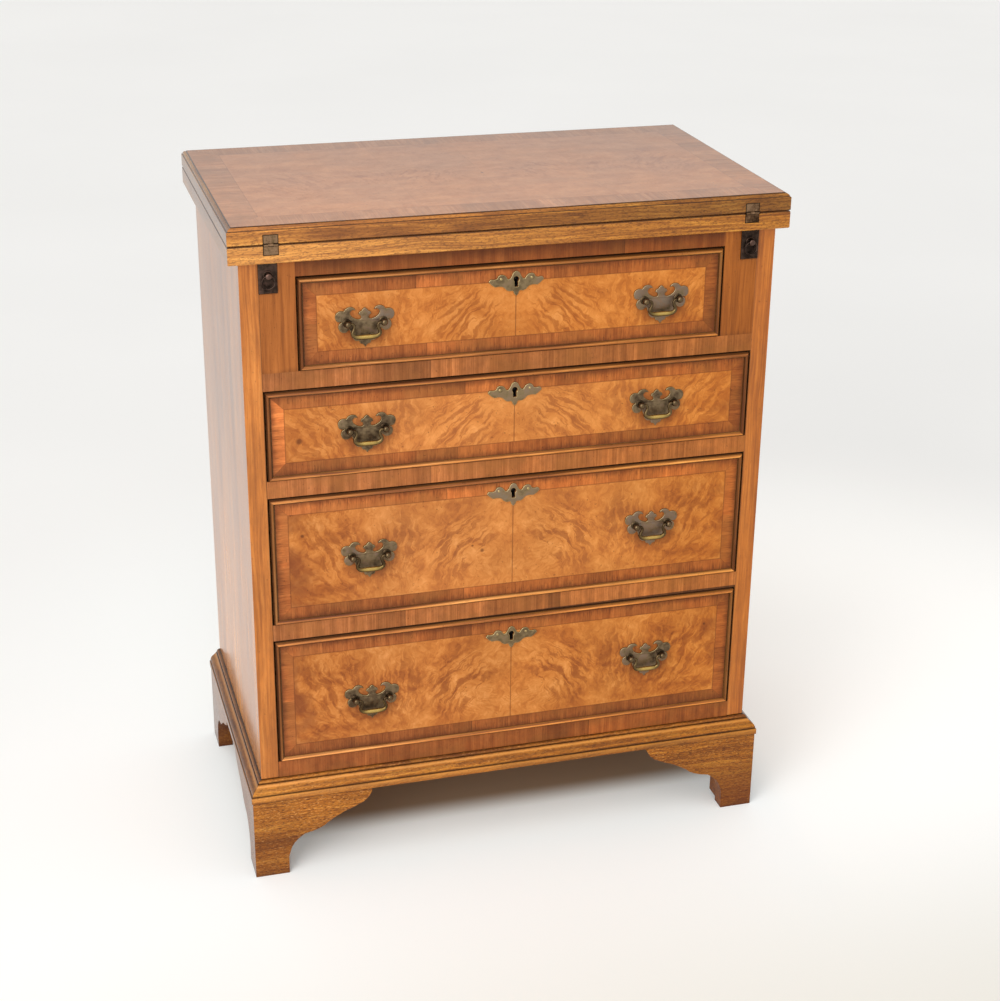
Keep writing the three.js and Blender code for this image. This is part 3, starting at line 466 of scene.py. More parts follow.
def drawer_front(s, x, y, z, number):
    """Book-matched burr in a mitred cross-grained border, with a long-grain bead round the edge."""
    look = DRAWER_LOOK[number]
    middle, half = centre_and_half(f"drawer_{number}_front")
    v = z - middle.z
    seed = number * 3.7
    right, upper = s.above(x, 0.0), s.above(v, 0.0)
    line = s.use(BORDER, U=x, V=v, Half_U=half.x - BEAD, Half_V=half.z - BEAD, Band=BORDER_WIDTH)
    runs, from_edge = line["Runs along U"], line["From edge"]

    leaf_seed = right * 0.06 + (4.0 + 0.14 * number)
    burr = s.use(BURR, Vector=s.vector(abs(x), v, y), Heel=half.z + 0.03, Seed=leaf_seed)
    smoke = s.noise(x * 17.0, v * 19.0, leaf_seed, 3.0, 0.6)
    smoky = s.ease(abs(x), half.x * 0.72, half.x * 0.93) * s.ease(smoke + v * -1.2, 0.42, 0.64)
    figured = s.over(
        s.ramp(burr["Tone"] * look.figure + 0.6 * (1.0 - look.figure), WOOD["burr"]),
        (burr["Streaks"] * 0.42 * look.figure, (136, 70, 28)),
        (s.fade(abs(x), 0.11, half.x * 0.85, look.bloom), (230, 180, 140)),
        (smoky * s.between(right, *look.smoke), (128, 66, 32)),
        *((s.near(x - at_x, v - at_v, size * 0.4, size * 1.3) * 0.7, STAIN_AND_SHADE) for at_x, at_v, size in look.knots),
        (s.fade(abs(x), 0.0002, 0.0008, 0.6), SEAM))

    along, across = s.between(runs, v, x), s.between(runs, x, v)
    joint = s.between(runs, NO_JOINT, s.between(upper, *look.joints))
    cross = cross_strip(s, along, across, y, joint, runs * 2.0 + upper + seed)
    ends = s.between(right, *look.ends) * s.ease(v, -half.z, half.z, 0.92, 1.06)
    cross = s.tint(cross, s.between(runs, ends, s.between(upper, *look.rows)) * 1.09)
    face = s.over(s.mix(line["Inside"], cross, figured), (line["Line"] * 0.5, SEAM))
    rub = s.noise(along * 260.0, across * 40.0, seed, 3.0) + s.noise(along * 30.0, across * 30.0, seed) - 1.0
    # Darker near the bead and deepest in the corners: real grime and painted shade.
    grime_and_shade = s.fade(from_edge + rub * 0.007, -0.0005, 0.0072, 0.66)
    grime_and_shade = s.most(grime_and_shade, line["Corner"] * s.fade(from_edge + rub * 0.010, 0.001, 0.013, 0.66))
    strokes = s.ease(s.noise(along * 640.0, across * 55.0, seed + 2.0), 0.50, 0.64)
    grime_and_shade = s.most(grime_and_shade, strokes * s.fade(from_edge, 0.002, 0.0125, 0.62))
    face = s.over(face, (grime_and_shade, STAIN_AND_SHADE))
    for side_name in SIDES:
        plate = centre_and_half(f"drawer_{number}_pull_plate_{side_name}")[0]
        # A painted shadow on the wood round each pull plate, shifted a little right and down.
        painted_plate_shadow = s.near((x - plate.x - 0.0015) * 0.72, z - plate.z + 0.0015, 0.012, 0.0275)
        face = s.over(face, (painted_plate_shadow * 0.42, STAIN_AND_SHADE))

    # Painted light on the bead: horizontal beads paler, vertical ones redder and darker, each bead lit along its
    # crown and shaded at its edges.
    bead = s.over(straight_wood(s, along, across, y, "bead", 1.3, 0.003, seed),
                  (runs * 0.045, (226, 180, 150)), ((1.0 - runs) * 0.2, (134, 58, 4)))
    painted_bead_light = s.ease(abs(from_edge + BEAD * 0.5), 0.0003, 0.0018, 1.28, 0.60)
    bead = s.tint(bead, s.between(runs, 0.44, s.between(upper, *look.beads)) * painted_bead_light)
    on_bead = s.above(0.0, from_edge)
    # Painted shade in the quirk inside the bead and along the bead's outer edge at the gap.
    quirk = s.fade(from_edge, 0.0, 0.0010) * s.above(from_edge, 0.0)
    colour = s.over(s.mix(on_bead, face, bead), (quirk * 0.72, DIRT_AND_SHADE),
                    (s.fade(from_edge, -BEAD, -BEAD + 0.0008, 0.35) * on_bead, DIRT_AND_SHADE))
    colour, smudge = worn(s, colour, x, y, z, seed, 0.10)
    # Browner toward the right: painted light falloff.
    colour = painted_light_falloff(s, s.tint(colour, look.tone), x)

    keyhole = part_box(f"drawer_{number}_escutcheon")[0].z + KEYHOLE_FROM_FOOT
    hole_x, hole_z = LOCK_HOLE_HALF
    inside = behind_front(s, y, 0.0004, 0.0012)
    # The front's own edges in the gaps are painted dark as shade, and a dark patch stands in for the shade inside
    # the lock's keyhole.
    lining = s.over(
        straight_wood(s, x, v, y, "lining", 0.7, 0.01, seed, 0.4),
        (s.above(y, CARCASS_FRONT + LOCK_DEPTH) * s.above(LOCK_HALF, abs(x)), (146, 122, 66)),
        (s.above(hole_x, abs(x)) * s.above(hole_z, abs(z - keyhole + LOCK_HOLE_DROP)), (38, 30, 26)),
        (s.fade(from_edge, -BEAD, -BEAD + 0.0003, 0.85), STAIN_AND_SHADE))
    roughness = inside * 0.3 + smudge * 0.10 + grime_and_shade * 0.12 - on_bead * 0.06 + 0.32
    return s.mix(inside, colour, lining), roughness, burr["Curl"] * 0.15 - quirk


def rail(s, x, y, z, seed, joints, tone, wood="rail", leaf_shadow_top=0.0, gap_shadow_low=0.0):
    """Cross-grained walnut pieces along the front of a rail, with plain timber behind them, a painted shadow of the
    leaf over the top rail and a painted shade wedge over a drawer gap.
    """
    cross = cross_strip(s, x, z, y, joints[0], seed, wood)
    for joint in joints[1:]:
        blocks = s.use(BLOCKS, Along=x, Joint=joint, Seed=seed + 1.0)
        cross = s.over(s.tint(cross, blocks["Tone"]), (blocks["Joint"] * 0.5, DIRT_AND_SHADE))
    cross = s.tint(cross, tone)
    # Painted shadow of the leaf above, over the top of the top rail.
    if leaf_shadow_top:
        ragged = s.noise(x * 30.0, z * 30.0, seed, 3.0) * 0.006
        cross = s.over(cross, (s.ease(z + ragged, leaf_shadow_top - 0.014, leaf_shadow_top, 0.0, 0.45), DIRT_AND_SHADE),
                       (0.12, (128, 56, 2)))
    # Painted shade: a dark wedge along the rail's foot over a drawer gap, widening to the right.
    if gap_shadow_low:
        gap_shadow_wedge = s.ease(x, -0.12, 0.24, 0.0004, 0.0024)
        cross = s.over(cross, (s.above(gap_shadow_wedge + gap_shadow_low, z) * 0.8, DIRT_AND_SHADE))
    # Browner toward the right: painted light falloff.
    colour, smudge = worn(s, painted_light_falloff(s, cross, x), x, y, z, seed, 0.12)
    behind = behind_front(s, y)
    timber = carcass_timber(s, x, z, y, y, 0.5, seed)
    return s.mix(behind, colour, timber), behind * 0.3 + smudge * 0.08 + 0.34, smudge * 0.3


def carcass_side(s, x, y, z):
    """Straight walnut on the front edge, figured veneer outside, plain timber inside."""
    strip = straight_wood(s, z, x, y, "straight", 0.9, 0.006, 2.0)
    waves = s.noise(z * 42.0, x * 160.0, y * 20.0, 3.0, 0.6, 0.5)
    # The front edge runs browner and darker toward the right: painted light falloff.
    strip = painted_light_falloff(s, s.tint(strip, s.ease(waves, 0.3, 0.7, 0.93, 1.10)), x)
    strip = s.over(strip, (s.ease(x, 0.0, 0.29, 0.0, 0.12), (172, 86, 14)))
    outer = straight_wood(s, z, y, x, "outside", 0.42, 0.016, 6.0, 0.35)
    ripple = s.noise(y * 62.0, z * 2.6, 4.0, 4.0, 0.62)
    # Lighter low on the side and darker toward the top: painted light and shade.
    outer = s.tint(outer, s.ease(z, 0.12, 0.60, 1.55, 1.08))
    outer = s.over(outer, (s.ease(ripple, 0.38, 0.70) * 0.44, (98, 61, 36)))
    inner = carcass_timber(s, z, y, x, y, 0.5, 8.0)
    on_outer = s.above(abs(x), CARCASS_HALF - 0.0003)
    on_front = s.above(CARCASS_FRONT + 0.0012, y)
    colour = s.mix(on_front, s.mix(on_outer, inner, outer), strip)
    # Painted shade on the front edge where it meets the drawer openings.
    colour = s.over(colour, (s.fade(abs(abs(x) - SIDE_INNER), 0.0, 0.0016, 0.5) * on_front, DIRT_AND_SHADE))
    colour, smudge = worn(s, colour, x, y, z, 1.0, 0.08)
    roughness = (1.0 - s.most(on_outer, on_front)) * 0.4 + on_front * 0.18 + smudge * 0.04 + 0.13
    return colour, roughness, ripple * 0.1


def stile(s, x, y, z):
    """Long grain up the stiles beside the top drawer, plain timber on the guides behind."""
    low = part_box("loper_case_left")[0].z
    face = straight_wood(s, z, x, y, "stile", 0.8, 0.006, 5.0)
    ragged = s.noise(x * 40.0, z * 40.0, 3.0, 3.0) * 0.008
    face = s.over(face, (s.fade(z + ragged, low + 0.001, low + 0.010, 0.35), DIRT_AND_SHADE))
    timber = carcass_timber(s, y, z, x, y, 0.6, 7.0)
    behind = behind_front(s, y)
    # Browner toward the right: painted light falloff.
    colour, smudge = worn(s, s.mix(behind, painted_light_falloff(s, face, x), timber), x, y, z, 3.0, 0.08)
    return colour, behind * 0.3 + smudge * 0.06 + 0.36, smudge * 0.2


LEAF_BORDER = 0.0380
LEAF_SEAM = 0.005
UPPER_EDGE = 0.0052
LOWER_EDGE = 0.0012
SHEET_JOINTS = ((-0.095, -0.030), (LEAF_SEAM, 0.045), (0.116, -0.040))


def leaf(s, x, y, z, node, seed):
    """Veneer in sheets with a cross-grained border on both faces, and long grain round the edges."""
    upper = node == "upper_leaf"
    low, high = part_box(node)
    middle, half = centre_and_half(node)
    v = y - middle.y
    line = s.use(BORDER, U=x, V=v, Half_U=half.x, Half_V=half.y, Band=LEAF_BORDER)
    runs, from_edge = line["Runs along U"], line["From edge"]
    burr = s.use(BURR, Vector=s.vector(abs(x - LEAF_SEAM), v, z), Heel=0.14, Seed=seed)
    panel = s.over(s.ramp(s.between(0.30, burr["Tone"], 0.5), WOOD["panel"]),
                   (burr["Streaks"] * 0.16, (134, 74, 40)))
    drag = s.noise(x * 9.0, v * 60.0, seed, 3.0, 0.6)
    panel = s.tint(panel, s.ease(drag, 0.3, 0.7, 0.93, 1.06))
    sheets, seams = 1.0, 0.0
    for at, step in SHEET_JOINTS:
        sheets = s.above(x, at) * step + sheets
        seams = s.most(s.fade(abs(x - at), 0.0002, 0.0007, 0.12), seams)
    chip = s.near((x - LEAF_SEAM) * 2.0, v + 0.010, 0.0006, 0.0042)
    panel = s.over(s.tint(panel, sheets), (seams, (88, 44, 22)), (chip * 0.6, DIRT_AND_SHADE))
    along, across = s.between(runs, v, x), s.between(runs, x, v)
    cross = cross_strip(s, along, across, z, NO_JOINT, runs * 2.0 + s.above(v, 0.0) + seed, "panel")
    bright_piece = s.above(x, 0.025) * s.above(0.043, x) * s.above(0.0, v)
    face = s.mix(line["Inside"], s.tint(cross, bright_piece * 0.14 + 0.86), panel)
    face = s.over(face, (line["Line"] * 0.25, (84, 40, 20)))
    # Lighter toward the front and the left: painted light falloff.
    face = s.tint(face, s.ease(v, -0.16, 0.16, 1.10, 0.84) * over_width(s, x, 1.04, 0.94, 0.28))

    edge = straight_wood(s, along, z, across, "edge", 1.1, 0.008, seed + 2.0, 0.4)
    fleck = s.noise(along * 240.0, z * 820.0, across * 820.0 + seed, 2.0, 0.7)
    edge = s.over(edge, (s.ease(fleck, 0.50, 0.62) * 0.58, (84, 44, 12)))
    # The edges are painted lighter on the left and darker on the right as light falloff, with a pale painted sheen
    # on the left.
    painted_light_left, painted_light_right, painted_sheen = (1.62, 0.68, 0.035) if upper else (1.20, 0.96, 0.055)
    edge = s.tint(edge, s.between(runs, 0.55, over_width(s, x, painted_light_left, painted_light_right)))
    edge = painted_light_falloff(s, s.over(edge, (over_width(s, x, painted_sheen, 0.0), (226, 190, 150))), x)
    moulded = UPPER_EDGE if upper else LOWER_EDGE
    rim = s.fade(from_edge, moulded, moulded + 0.0002)
    if upper:
        rim = s.most(rim * s.above(z, high.z - UPPER_EDGE), s.fade(from_edge, 0.0011, 0.0013))
        # Painted highlight on the upper part of the moulded edge, and painted shade in its step and quirk.
        edge = s.tint(edge, s.ease(z, high.z - 0.0062, high.z - 0.0042, 0.86, 1.14))
        step = s.near(from_edge - 0.0051, z - high.z + 0.0004, 0.0004, 0.0012)
        quirk = s.near(from_edge - 0.0012, z - high.z + 0.0041, 0.0004, 0.0011)
        colour = s.over(s.mix(rim, face, edge), (s.most(step, quirk) * 0.8, DIRT_AND_SHADE))
    else:
        colour = s.mix(rim, face, s.tint(edge, 1.22))
    # Painted shade in the crease where the two leaves meet.
    leaves_meet = low.z if upper else high.z
    colour = s.over(colour, (s.fade(abs(z - leaves_meet), 0.0004, 0.0017, 0.85) * rim, DIRT_AND_SHADE))
    colour, smudge = worn(s, colour, x, y, z, seed, 0.06)
    roughness = smudge * 0.05 + rim * runs * 0.12 - rim * (1.0 - runs) * 0.06 + 0.20
    return colour, roughness, fleck * rim * -0.4


FOOT_TOP = 0.0979
FOOT_OVERHANG = 0.0126


def mahogany(s, x, y, z, direction, seed):
    """Dark golden timber with flecked long grain along one direction, painted glints, worn crests with painted
    highlights, and dirt and painted shade in the hollows.
    """
    foot = direction == "foot"
    side_board = 1.0 if direction == "y" else 0.0
    along, across = (x, y) if direction == "x" else (y, x)
    if foot:
        from_front = s.least(y - (CARCASS_FRONT - FOOT_OVERHANG), CARCASS_BACK - y)
        side_board = s.above(0.0, (CARCASS_HALF + FOOT_OVERHANG - abs(x)) - from_front)
        along, across = s.between(side_board, x, y), s.between(side_board, y, x)
    figure = 1.0 if foot else 0.6
    ribbon = s.noise(along * 26.0, z * 130.0, across * 40.0 + seed, 3.0, 0.6, 0.4)
    fleck = s.noise(along * 210.0, z * 900.0, across * 210.0 + seed, 2.0, 0.7)
    # Painted glints on the grain.
    painted_glint = s.noise(along * 260.0, z * 1000.0, across * 260.0 + seed + 7.0, 1.0, 0.6)
    colour = s.over(
        straight_wood(s, along, z, across, "mahogany", 0.9, 0.014, seed, 0.4),
        (s.ease(ribbon, 0.44, 0.66) * 0.45, (178, 112, 34)),
        (s.ease(fleck, 0.50, 0.62) * 0.74 * figure, (66, 28, 6)),
        (s.ease(painted_glint, 0.58, 0.70) * 0.5 * figure, (224, 160, 90)),
        # Worn crests with painted highlight, and dirt with painted shade in the hollows.
        (s.stock("wear") * 0.62, (232, 162, 86)), (s.stock("hollow"), (30, 14, 6)))
    # Browner and darker toward the right: painted light falloff. The side faces are painted darker than the fronts
    # as shade.
    colour = painted_light_falloff(s, s.tint(colour, over_width(s, x, 1.04, 0.92)), x)
    colour = s.tint(colour, s.between(side_board, 0.90, 0.50))
    if foot:
        ragged = s.noise(along * 50.0, z * 50.0, seed, 3.0) * 0.012
        colour = s.over(
            s.tint(colour, s.ease(z, 0.040, 0.085, 0.96, 1.30)),
            (s.ease(z, 0.040, 0.085, 0.20, 0.03), (120, 54, 6)),
            (s.ease(x, 0.05, 0.28, 0.0, 0.30) * s.fade(z, 0.035, 0.075), (96, 40, 4)),
            (s.fade(z + ragged, 0.005, 0.016, 0.6), (66, 22, 8)),
            # Painted shadow under the overhang of the base moulding.
            (s.ease(z, FOOT_TOP - 0.0021, FOOT_TOP, 0.0, 0.8), DIRT_AND_SHADE))
    else:
        colour = s.tint(colour, 1.25)
    colour, smudge = worn(s, colour, x, y, z, seed, 0.12)
    return colour, smudge * 0.08 + s.between(side_board, 0.32, 0.14), fleck * -0.6


def plain_wood(s, x, y, z, direction, wood, seed, fineness=0.6, wander=0.02):
    """Unpolished timber with its long grain along one direction."""
    along, across, depth = {"x": (x, z, y), "y": (y, x, z), "z": (z, x, y)}[direction]
    colour = straight_wood(s, along, across, depth, wood, fineness, wander, seed)
    colour, smudge = worn(s, colour, x, y, z, seed, 0.14)
    return colour, smudge * 0.1 + 0.62, smudge * 0.3


def aged_brass(s, x, y, z, bright, hues, rough, seed, panel=None):
    """Mottled patina whose hue drifts from piece to piece, dark in the hollows and worn bright where hands reach,
    with painted shade on undersides and painted highlights on rims and grips.
    A panel gives the centre and half size of a plate with a dark outline."""
    drift = s.noise(x * 6.5, y * 6.5, z * 6.5 + seed, 1.0)
    cloud = s.noise(x * 130.0, y * 130.0, z * 130.0 + seed, 4.0, 0.65)
    pits = s.noise(x * 900.0, y * 900.0, z * 900.0 + seed, 2.0, 0.6)
    wear, hollow = s.stock("wear"), s.stock("hollow")
    patina = s.ease(drift, 0.36, 0.64) * 0.6 + (cloud - 0.5) * 2.3 + 0.2
    colour = s.over(s.ramp(patina, shades(hues)), (wear, bright), (hollow * 0.9, (34, 26, 14)))
    if panel:
        centre, half = panel
        from_rim = s.least(half.x - abs(abs(x) - centre.x), half.z - abs(z - centre.z))
        colour = s.over(colour, (s.fade(from_rim, 0.0002, 0.0013, 0.85), (34, 26, 18)))
    marks = s.use(HANDLING, Vector=s.vector(x, y, z), Seed=seed)
    colour = s.over(colour, (marks["Scratches"] * 0.3, bright))
    roughness = s.ease(cloud, 0.3, 0.7) * 0.16 - wear * 0.12 + hollow * 0.2 + rough
    return colour, roughness, pits * 0.3 + cloud * 0.5


def metal(name, bright, hues, rough, seed, panel=None):
    """A material of aged brass or bronze."""
    return finish_material(name, aged_brass, bright, hues, rough, seed, panel,
                           metallic=1.0, specular=0.5, bump=0.0002)


# Surfaces

def catmull(points, steps):
    """A curve through the points, whose slope at each is half the chord between its neighbours."""
    p = np.asarray(points, float)
    padded = np.vstack([p[:1], p, p[-1:]])
    slope = (padded[2:] - padded[:-2])[:, None] / 2
    t = (np.arange(steps) / steps)[None, :, None]
    curve = (p[:-1, None] * (2 * t**3 - 3 * t**2 + 1) + slope[:-1] * (t**3 - 2 * t**2 + t)
             + p[1:, None] * (3 * t**2 - 2 * t**3) + slope[1:] * (t**3 - t**2))
    return np.vstack([curve.reshape(-1, p.shape[1]), p[-1:]])


def mirrored_outline(stretches, size, steps=5):
    """A closed outline, anticlockwise, from the stretches of its right half and their mirror image."""
    right = np.vstack([catmull(stretch, steps)[:-1] for stretch in stretches] + [[stretches[-1][-1]]])
    return np.vstack([right, right[-2:0:-1] * (-1, 1)]) * size


def unit(vectors):
    """The vectors, one to a row, brought to length 1."""
    return vectors / np.linalg.norm(vectors, axis=1)[:, None]


def full_turn(count):
    """Angles spread evenly over a whole turn."""
    return np.arange(count) / count * 2 * np.pi


def quads(rows, columns, wrap_rows=False):
    """Four-sided faces over a grid of points numbered row by row, whose rows are closed rings."""
    r, c = np.meshgrid(np.arange(rows - (not wrap_rows)), np.arange(columns), indexing="ij")
    r_next, c_next = (r + 1) % rows, (c + 1) % columns
    corners = [r * columns + c, r * columns + c_next, r_next * columns + c_next, r_next * columns + c]
    return np.stack(corners, -1).reshape(-1, 4)


def closed_rings(rings, count):
    """The faces of a bar or a turned form: rings joined in a row, and a face over each end."""
    ends = [(start + np.arange(count))[None, :] for start in (0, (rings - 1) * count)]
    return [quads(rings, count)] + ends


def shell(points, faces, **stock):
    """A closed surface with its faces turned outwards, by the sign of the volume they enclose."""
    volume = 0.0
    for block in faces:
        for i in range(1, block.shape[1] - 1):
            a, b, c = points[block[:, 0]], points[block[:, i]], points[block[:, i + 1]]
            volume += np.einsum("ij,ij->i", a, np.cross(b, c)).sum()
    if volume < 0:
        faces = [block[:, ::-1] for block in faces]
    return points, faces, stock


def dome(radius, rise, foot, angles):
    """Pairs of radius and reach that close a turned form with a rounded end."""
    return [(radius * math.cos(t), foot + rise * math.sin(t)) for t in angles]


def turned(profile, sides, hollow, wear):
    """A turned form about an axis that runs forward, from pairs of radius and reach in
    millimetres: each pair makes a ring, and the first and last rings are closed by a face."""
    profile = np.asarray(profile, float) * MM
    angle = full_turn(sides)
    radius, reach = profile[:, :1], profile[:, 1:]
    points = np.stack([radius * np.cos(angle), -reach + 0 * angle, radius * np.sin(angle)], -1).reshape(-1, 3)
    return shell(points, closed_rings(len(profile), sides),
                 hollow=np.repeat(hollow, sides), wear=np.repeat(wear, sides))


def rimmed_plate(outline, rim, hollow, wear, hole=None):
    """A flat plate with a shaped rim: each ring is the outline moved in along its normals by an
    inset, at a reach, both in millimetres. The last ring and the first are filled flat. The
    outline and the hole are anticlockwise."""
    loops = [(outline, 1)] + ([(hole, -1)] if hole is not None else [])
    points, faces, edges, begin = [], [], [], 0
    for loop, sign in loops:
        count = len(loop)
        along = unit(np.roll(loop, -1, 0) - np.roll(loop, 1, 0))
        outward = np.stack([along[:, 1], -along[:, 0]], 1)
        for inset, reach in rim:
            ring = loop - sign * outward * inset
            points.append(np.stack([ring[:, 0], np.full(count, -reach), ring[:, 1]], 1))
        faces.append(begin + quads(len(rim), count)[:, ::sign])
        edges.append([start + np.arange(count) for start in (begin, begin + (len(rim) - 1) * count)])
        begin += len(rim) * count
    points = np.vstack(points) * MM
    for end in (0, 1):
        rings = [edge[end] for edge in edges]
        lines = [[Vector((px, pz, 0)) for px, pz in points[ring][:, [0, 2]]] for ring in rings]
        filled = np.concatenate(rings)[np.array(tessellate_polygon(lines))]
        corner = points[filled]
        turn = np.cross(corner[:, 1] - corner[:, 0], corner[:, 2] - corner[:, 0])[:, 1]
        flip = (turn > 0) if end else (turn < 0)
        filled[flip] = filled[flip][:, ::-1]
        faces.append(filled)
    stock = {key: np.concatenate([np.repeat(values, len(loop)) for loop, sign in loops])
             for key, values in (("hollow", hollow), ("wear", wear))}
    return points, faces, stock


def tube(path, radii, across, sides=20, wear=None):
    """A round bar along a path in one plane: each station is a circle square to the path."""
    path = np.asarray(path, float)
    side = np.cross(unit(np.gradient(path, axis=0)), across)
    angle = full_turn(sides)[None, :, None]
    ring = side[:, None] * np.cos(angle) + np.asarray(across)[None, None] * np.sin(angle)
    points = (path[:, None] + ring * np.asarray(radii)[:, None, None]).reshape(-1, 3)
    faces = closed_rings(len(path), sides)
    if wear is None:
        return shell(points, faces)
    # Painted highlight with wear on the upper side of the bar, and painted shade on its underside.
    upper = np.clip(ring[:, :, 2] * 0.9 + 0.35 - ring[:, :, 1] * 0.5, 0, 1)
    painted_shade_beneath = np.clip(-ring[:, :, 2] * 1.2 - 0.1, 0, 1)
    return shell(points, faces, wear=(upper * wear[:, None]).ravel(), hollow=(painted_shade_beneath * 0.75).ravel())


def rod(start, end, radius, sides):
    """A straight round bar between two points at the same height."""
    return tube((start, end), (radius, radius), (0, 0, 1), sides)


def hoop(radius, wire, centre, sides=14, steps=40):
    """A ring of round wire in the plane of X and Z: a circle carried round a circle."""
    a, b = np.meshgrid(full_turn(steps), full_turn(sides), indexing="ij")
    out = radius + wire * np.cos(b)
    points = np.stack([out * np.sin(a), wire * np.sin(b), out * np.cos(a)], -1).reshape(-1, 3) + centre
    return shell(points, [quads(steps, sides, wrap_rows=True)])


def moved(form, place):
    """The same surface, moved."""
    points, faces, stock = form
    return points + np.asarray(place), faces, stock


def linked(name, data):
    """A new object in the scene."""
    made = bpy.data.objects.new(name, data)
    bpy.context.scene.collection.objects.link(made)
    return made


def mesh_object(name, forms, material, smooth_below=38.0):
    """One object from several surfaces, smooth wherever two faces meet at less than an angle."""
    mesh = bpy.data.meshes.new(name)
    begin, faces = 0, []
    for points, blocks, stock in forms:
        faces += [row for block in blocks for row in (block + begin).tolist()]
        begin += len(points)
    mesh.from_pydata(np.vstack([points for points, blocks, stock in forms]).tolist(), [], faces)
    for key in ("hollow", "wear"):
        values = np.concatenate([stock.get(key, np.zeros(len(points))) for points, blocks, stock in forms])
        mesh.attributes.new(key, "FLOAT", "POINT").data.foreach_set("value", values.astype(np.float32))
    mesh.shade_smooth()
    mesh.set_sharp_from_angle(angle=math.radians(smooth_below))
    mesh.materials.append(material)
    return linked(name, mesh)


def bored(target, radius, start, end):
    """Cuts a round hole along X from start to end, both points, and keeps the mesh's stock."""
    cutter = mesh_object("cutter", [rod(start, end, radius, 20)], target.data.materials[0])
    step = target.modifiers.new("bore", "BOOLEAN")
    step.object = cutter
    step.operation = "DIFFERENCE"
    step.solver = "EXACT"
    result = bpy.data.meshes.new_from_object(target.evaluated_get(bpy.context.evaluated_depsgraph_get()))
    target.modifiers.clear()
    target.data = result
    bpy.data.objects.remove(cutter)


def placed_copy(master, name, place):
    """A copy of a finished piece with the move put into its mesh."""
    mesh = master.data.copy()
    mesh.transform(Matrix.Translation(place))
    return linked(name, mesh)


def enter(piece, body, stands_for=None):
    if stands_for:
        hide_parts(stands_for)
    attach(piece, body)


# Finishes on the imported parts

ARRIS_BEND = math.radians(40)


def plain_normals():
    """A modifier that drops stored normals and smooths every edge that bends less than an arris."""
    tree = bpy.data.node_groups.new("plain_normals", "GeometryNodeTree")
    for way in ("INPUT", "OUTPUT"):
        tree.interface.new_socket(name="Geometry", in_out=way, socket_type="NodeSocketGeometry")
    entry, leave, bend, sharp, normals = (tree.nodes.new(kind) for kind in (
        "NodeGroupInput", "NodeGroupOutput", "GeometryNodeInputMeshEdgeAngle", "FunctionNodeCompare",
        "GeometryNodeSetMeshNormal"))
    sharp.operation = "GREATER_THAN"
    sharp.inputs[1].default_value = ARRIS_BEND
    normals.inputs["Remove Custom"].default_value = True
    for source, target in ((bend.outputs["Unsigned Angle"], sharp.inputs[0]),
                           (entry.outputs[0], normals.inputs["Mesh"]),
                           (sharp.outputs[0], normals.inputs["Edge Sharpness"]),
                           (normals.outputs[0], leave.inputs[0])):
        tree.links.new(source, target)
    return tree


PLAIN_NORMALS = plain_normals()


def coat(name, material, arris=0.0, segments=2):
    """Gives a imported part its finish, and rounds its arrises by a width in millimetres."""
    part = NODES[name]
    part.data.materials.clear()
    part.data.materials.append(material)
    if not arris:
        return
    part.modifiers.new("weld", "WELD").merge_threshold = 1e-6
    part.modifiers.new("normals", "NODES").node_group = PLAIN_NORMALS
    bevel = part.modifiers.new("arris", "BEVEL")
    bevel.limit_method = "ANGLE"
    bevel.angle_limit = ARRIS_BEND
    bevel.width = arris * MM
    bevel.segments = segments
    bevel.harden_normals = True
    bevel.miter_outer = "MITER_ARC"


mahogany_x, mahogany_y, mahogany_foot = (
    finish_material(f"mahogany_{place}", mahogany, direction, seed, specular=0.28)
    for place, direction, seed in (("front", "x", 1.0), ("sides", "y", 4.0), ("feet", "foot", 7.0)))
pine_x = finish_material("pine_across", plain_wood, "x", "board", 2.0)
pine_z = finish_material("pine_upright", plain_wood, "z", "board", 5.0, 0.35, 0.009)
lining_y = finish_material("oak_lining", plain_wood, "y", "lining", 3.0)
loper_wood = finish_material("loper_bar", plain_wood, "y", "straight", 6.0, 0.8)
stile_wood = finish_material("walnut_stile", stile, specular=0.22)
side_wood = finish_material("walnut_side", carcass_side, specular=0.45)
brass = metal("antique_brass", (182, 160, 112),
              ((84, 67, 52), (112, 93, 72), (136, 116, 88), (144, 118, 98), (142, 124, 108)), 0.40, 1.0)
post_brass = metal("post_brass", (120, 100, 72), ((48, 36, 26), (70, 56, 40), (88, 72, 52)), 0.20, 1.0)
grip_brass = metal("worn_brass", (206, 172, 96), ((66, 52, 36), (88, 72, 50), (108, 90, 62)), 0.24, 2.0)
bronze = metal("dark_bronze", (128, 100, 88), ((44, 34, 30), (70, 56, 48), (92, 70, 62), (96, 80, 66)), 0.34, 4.0)

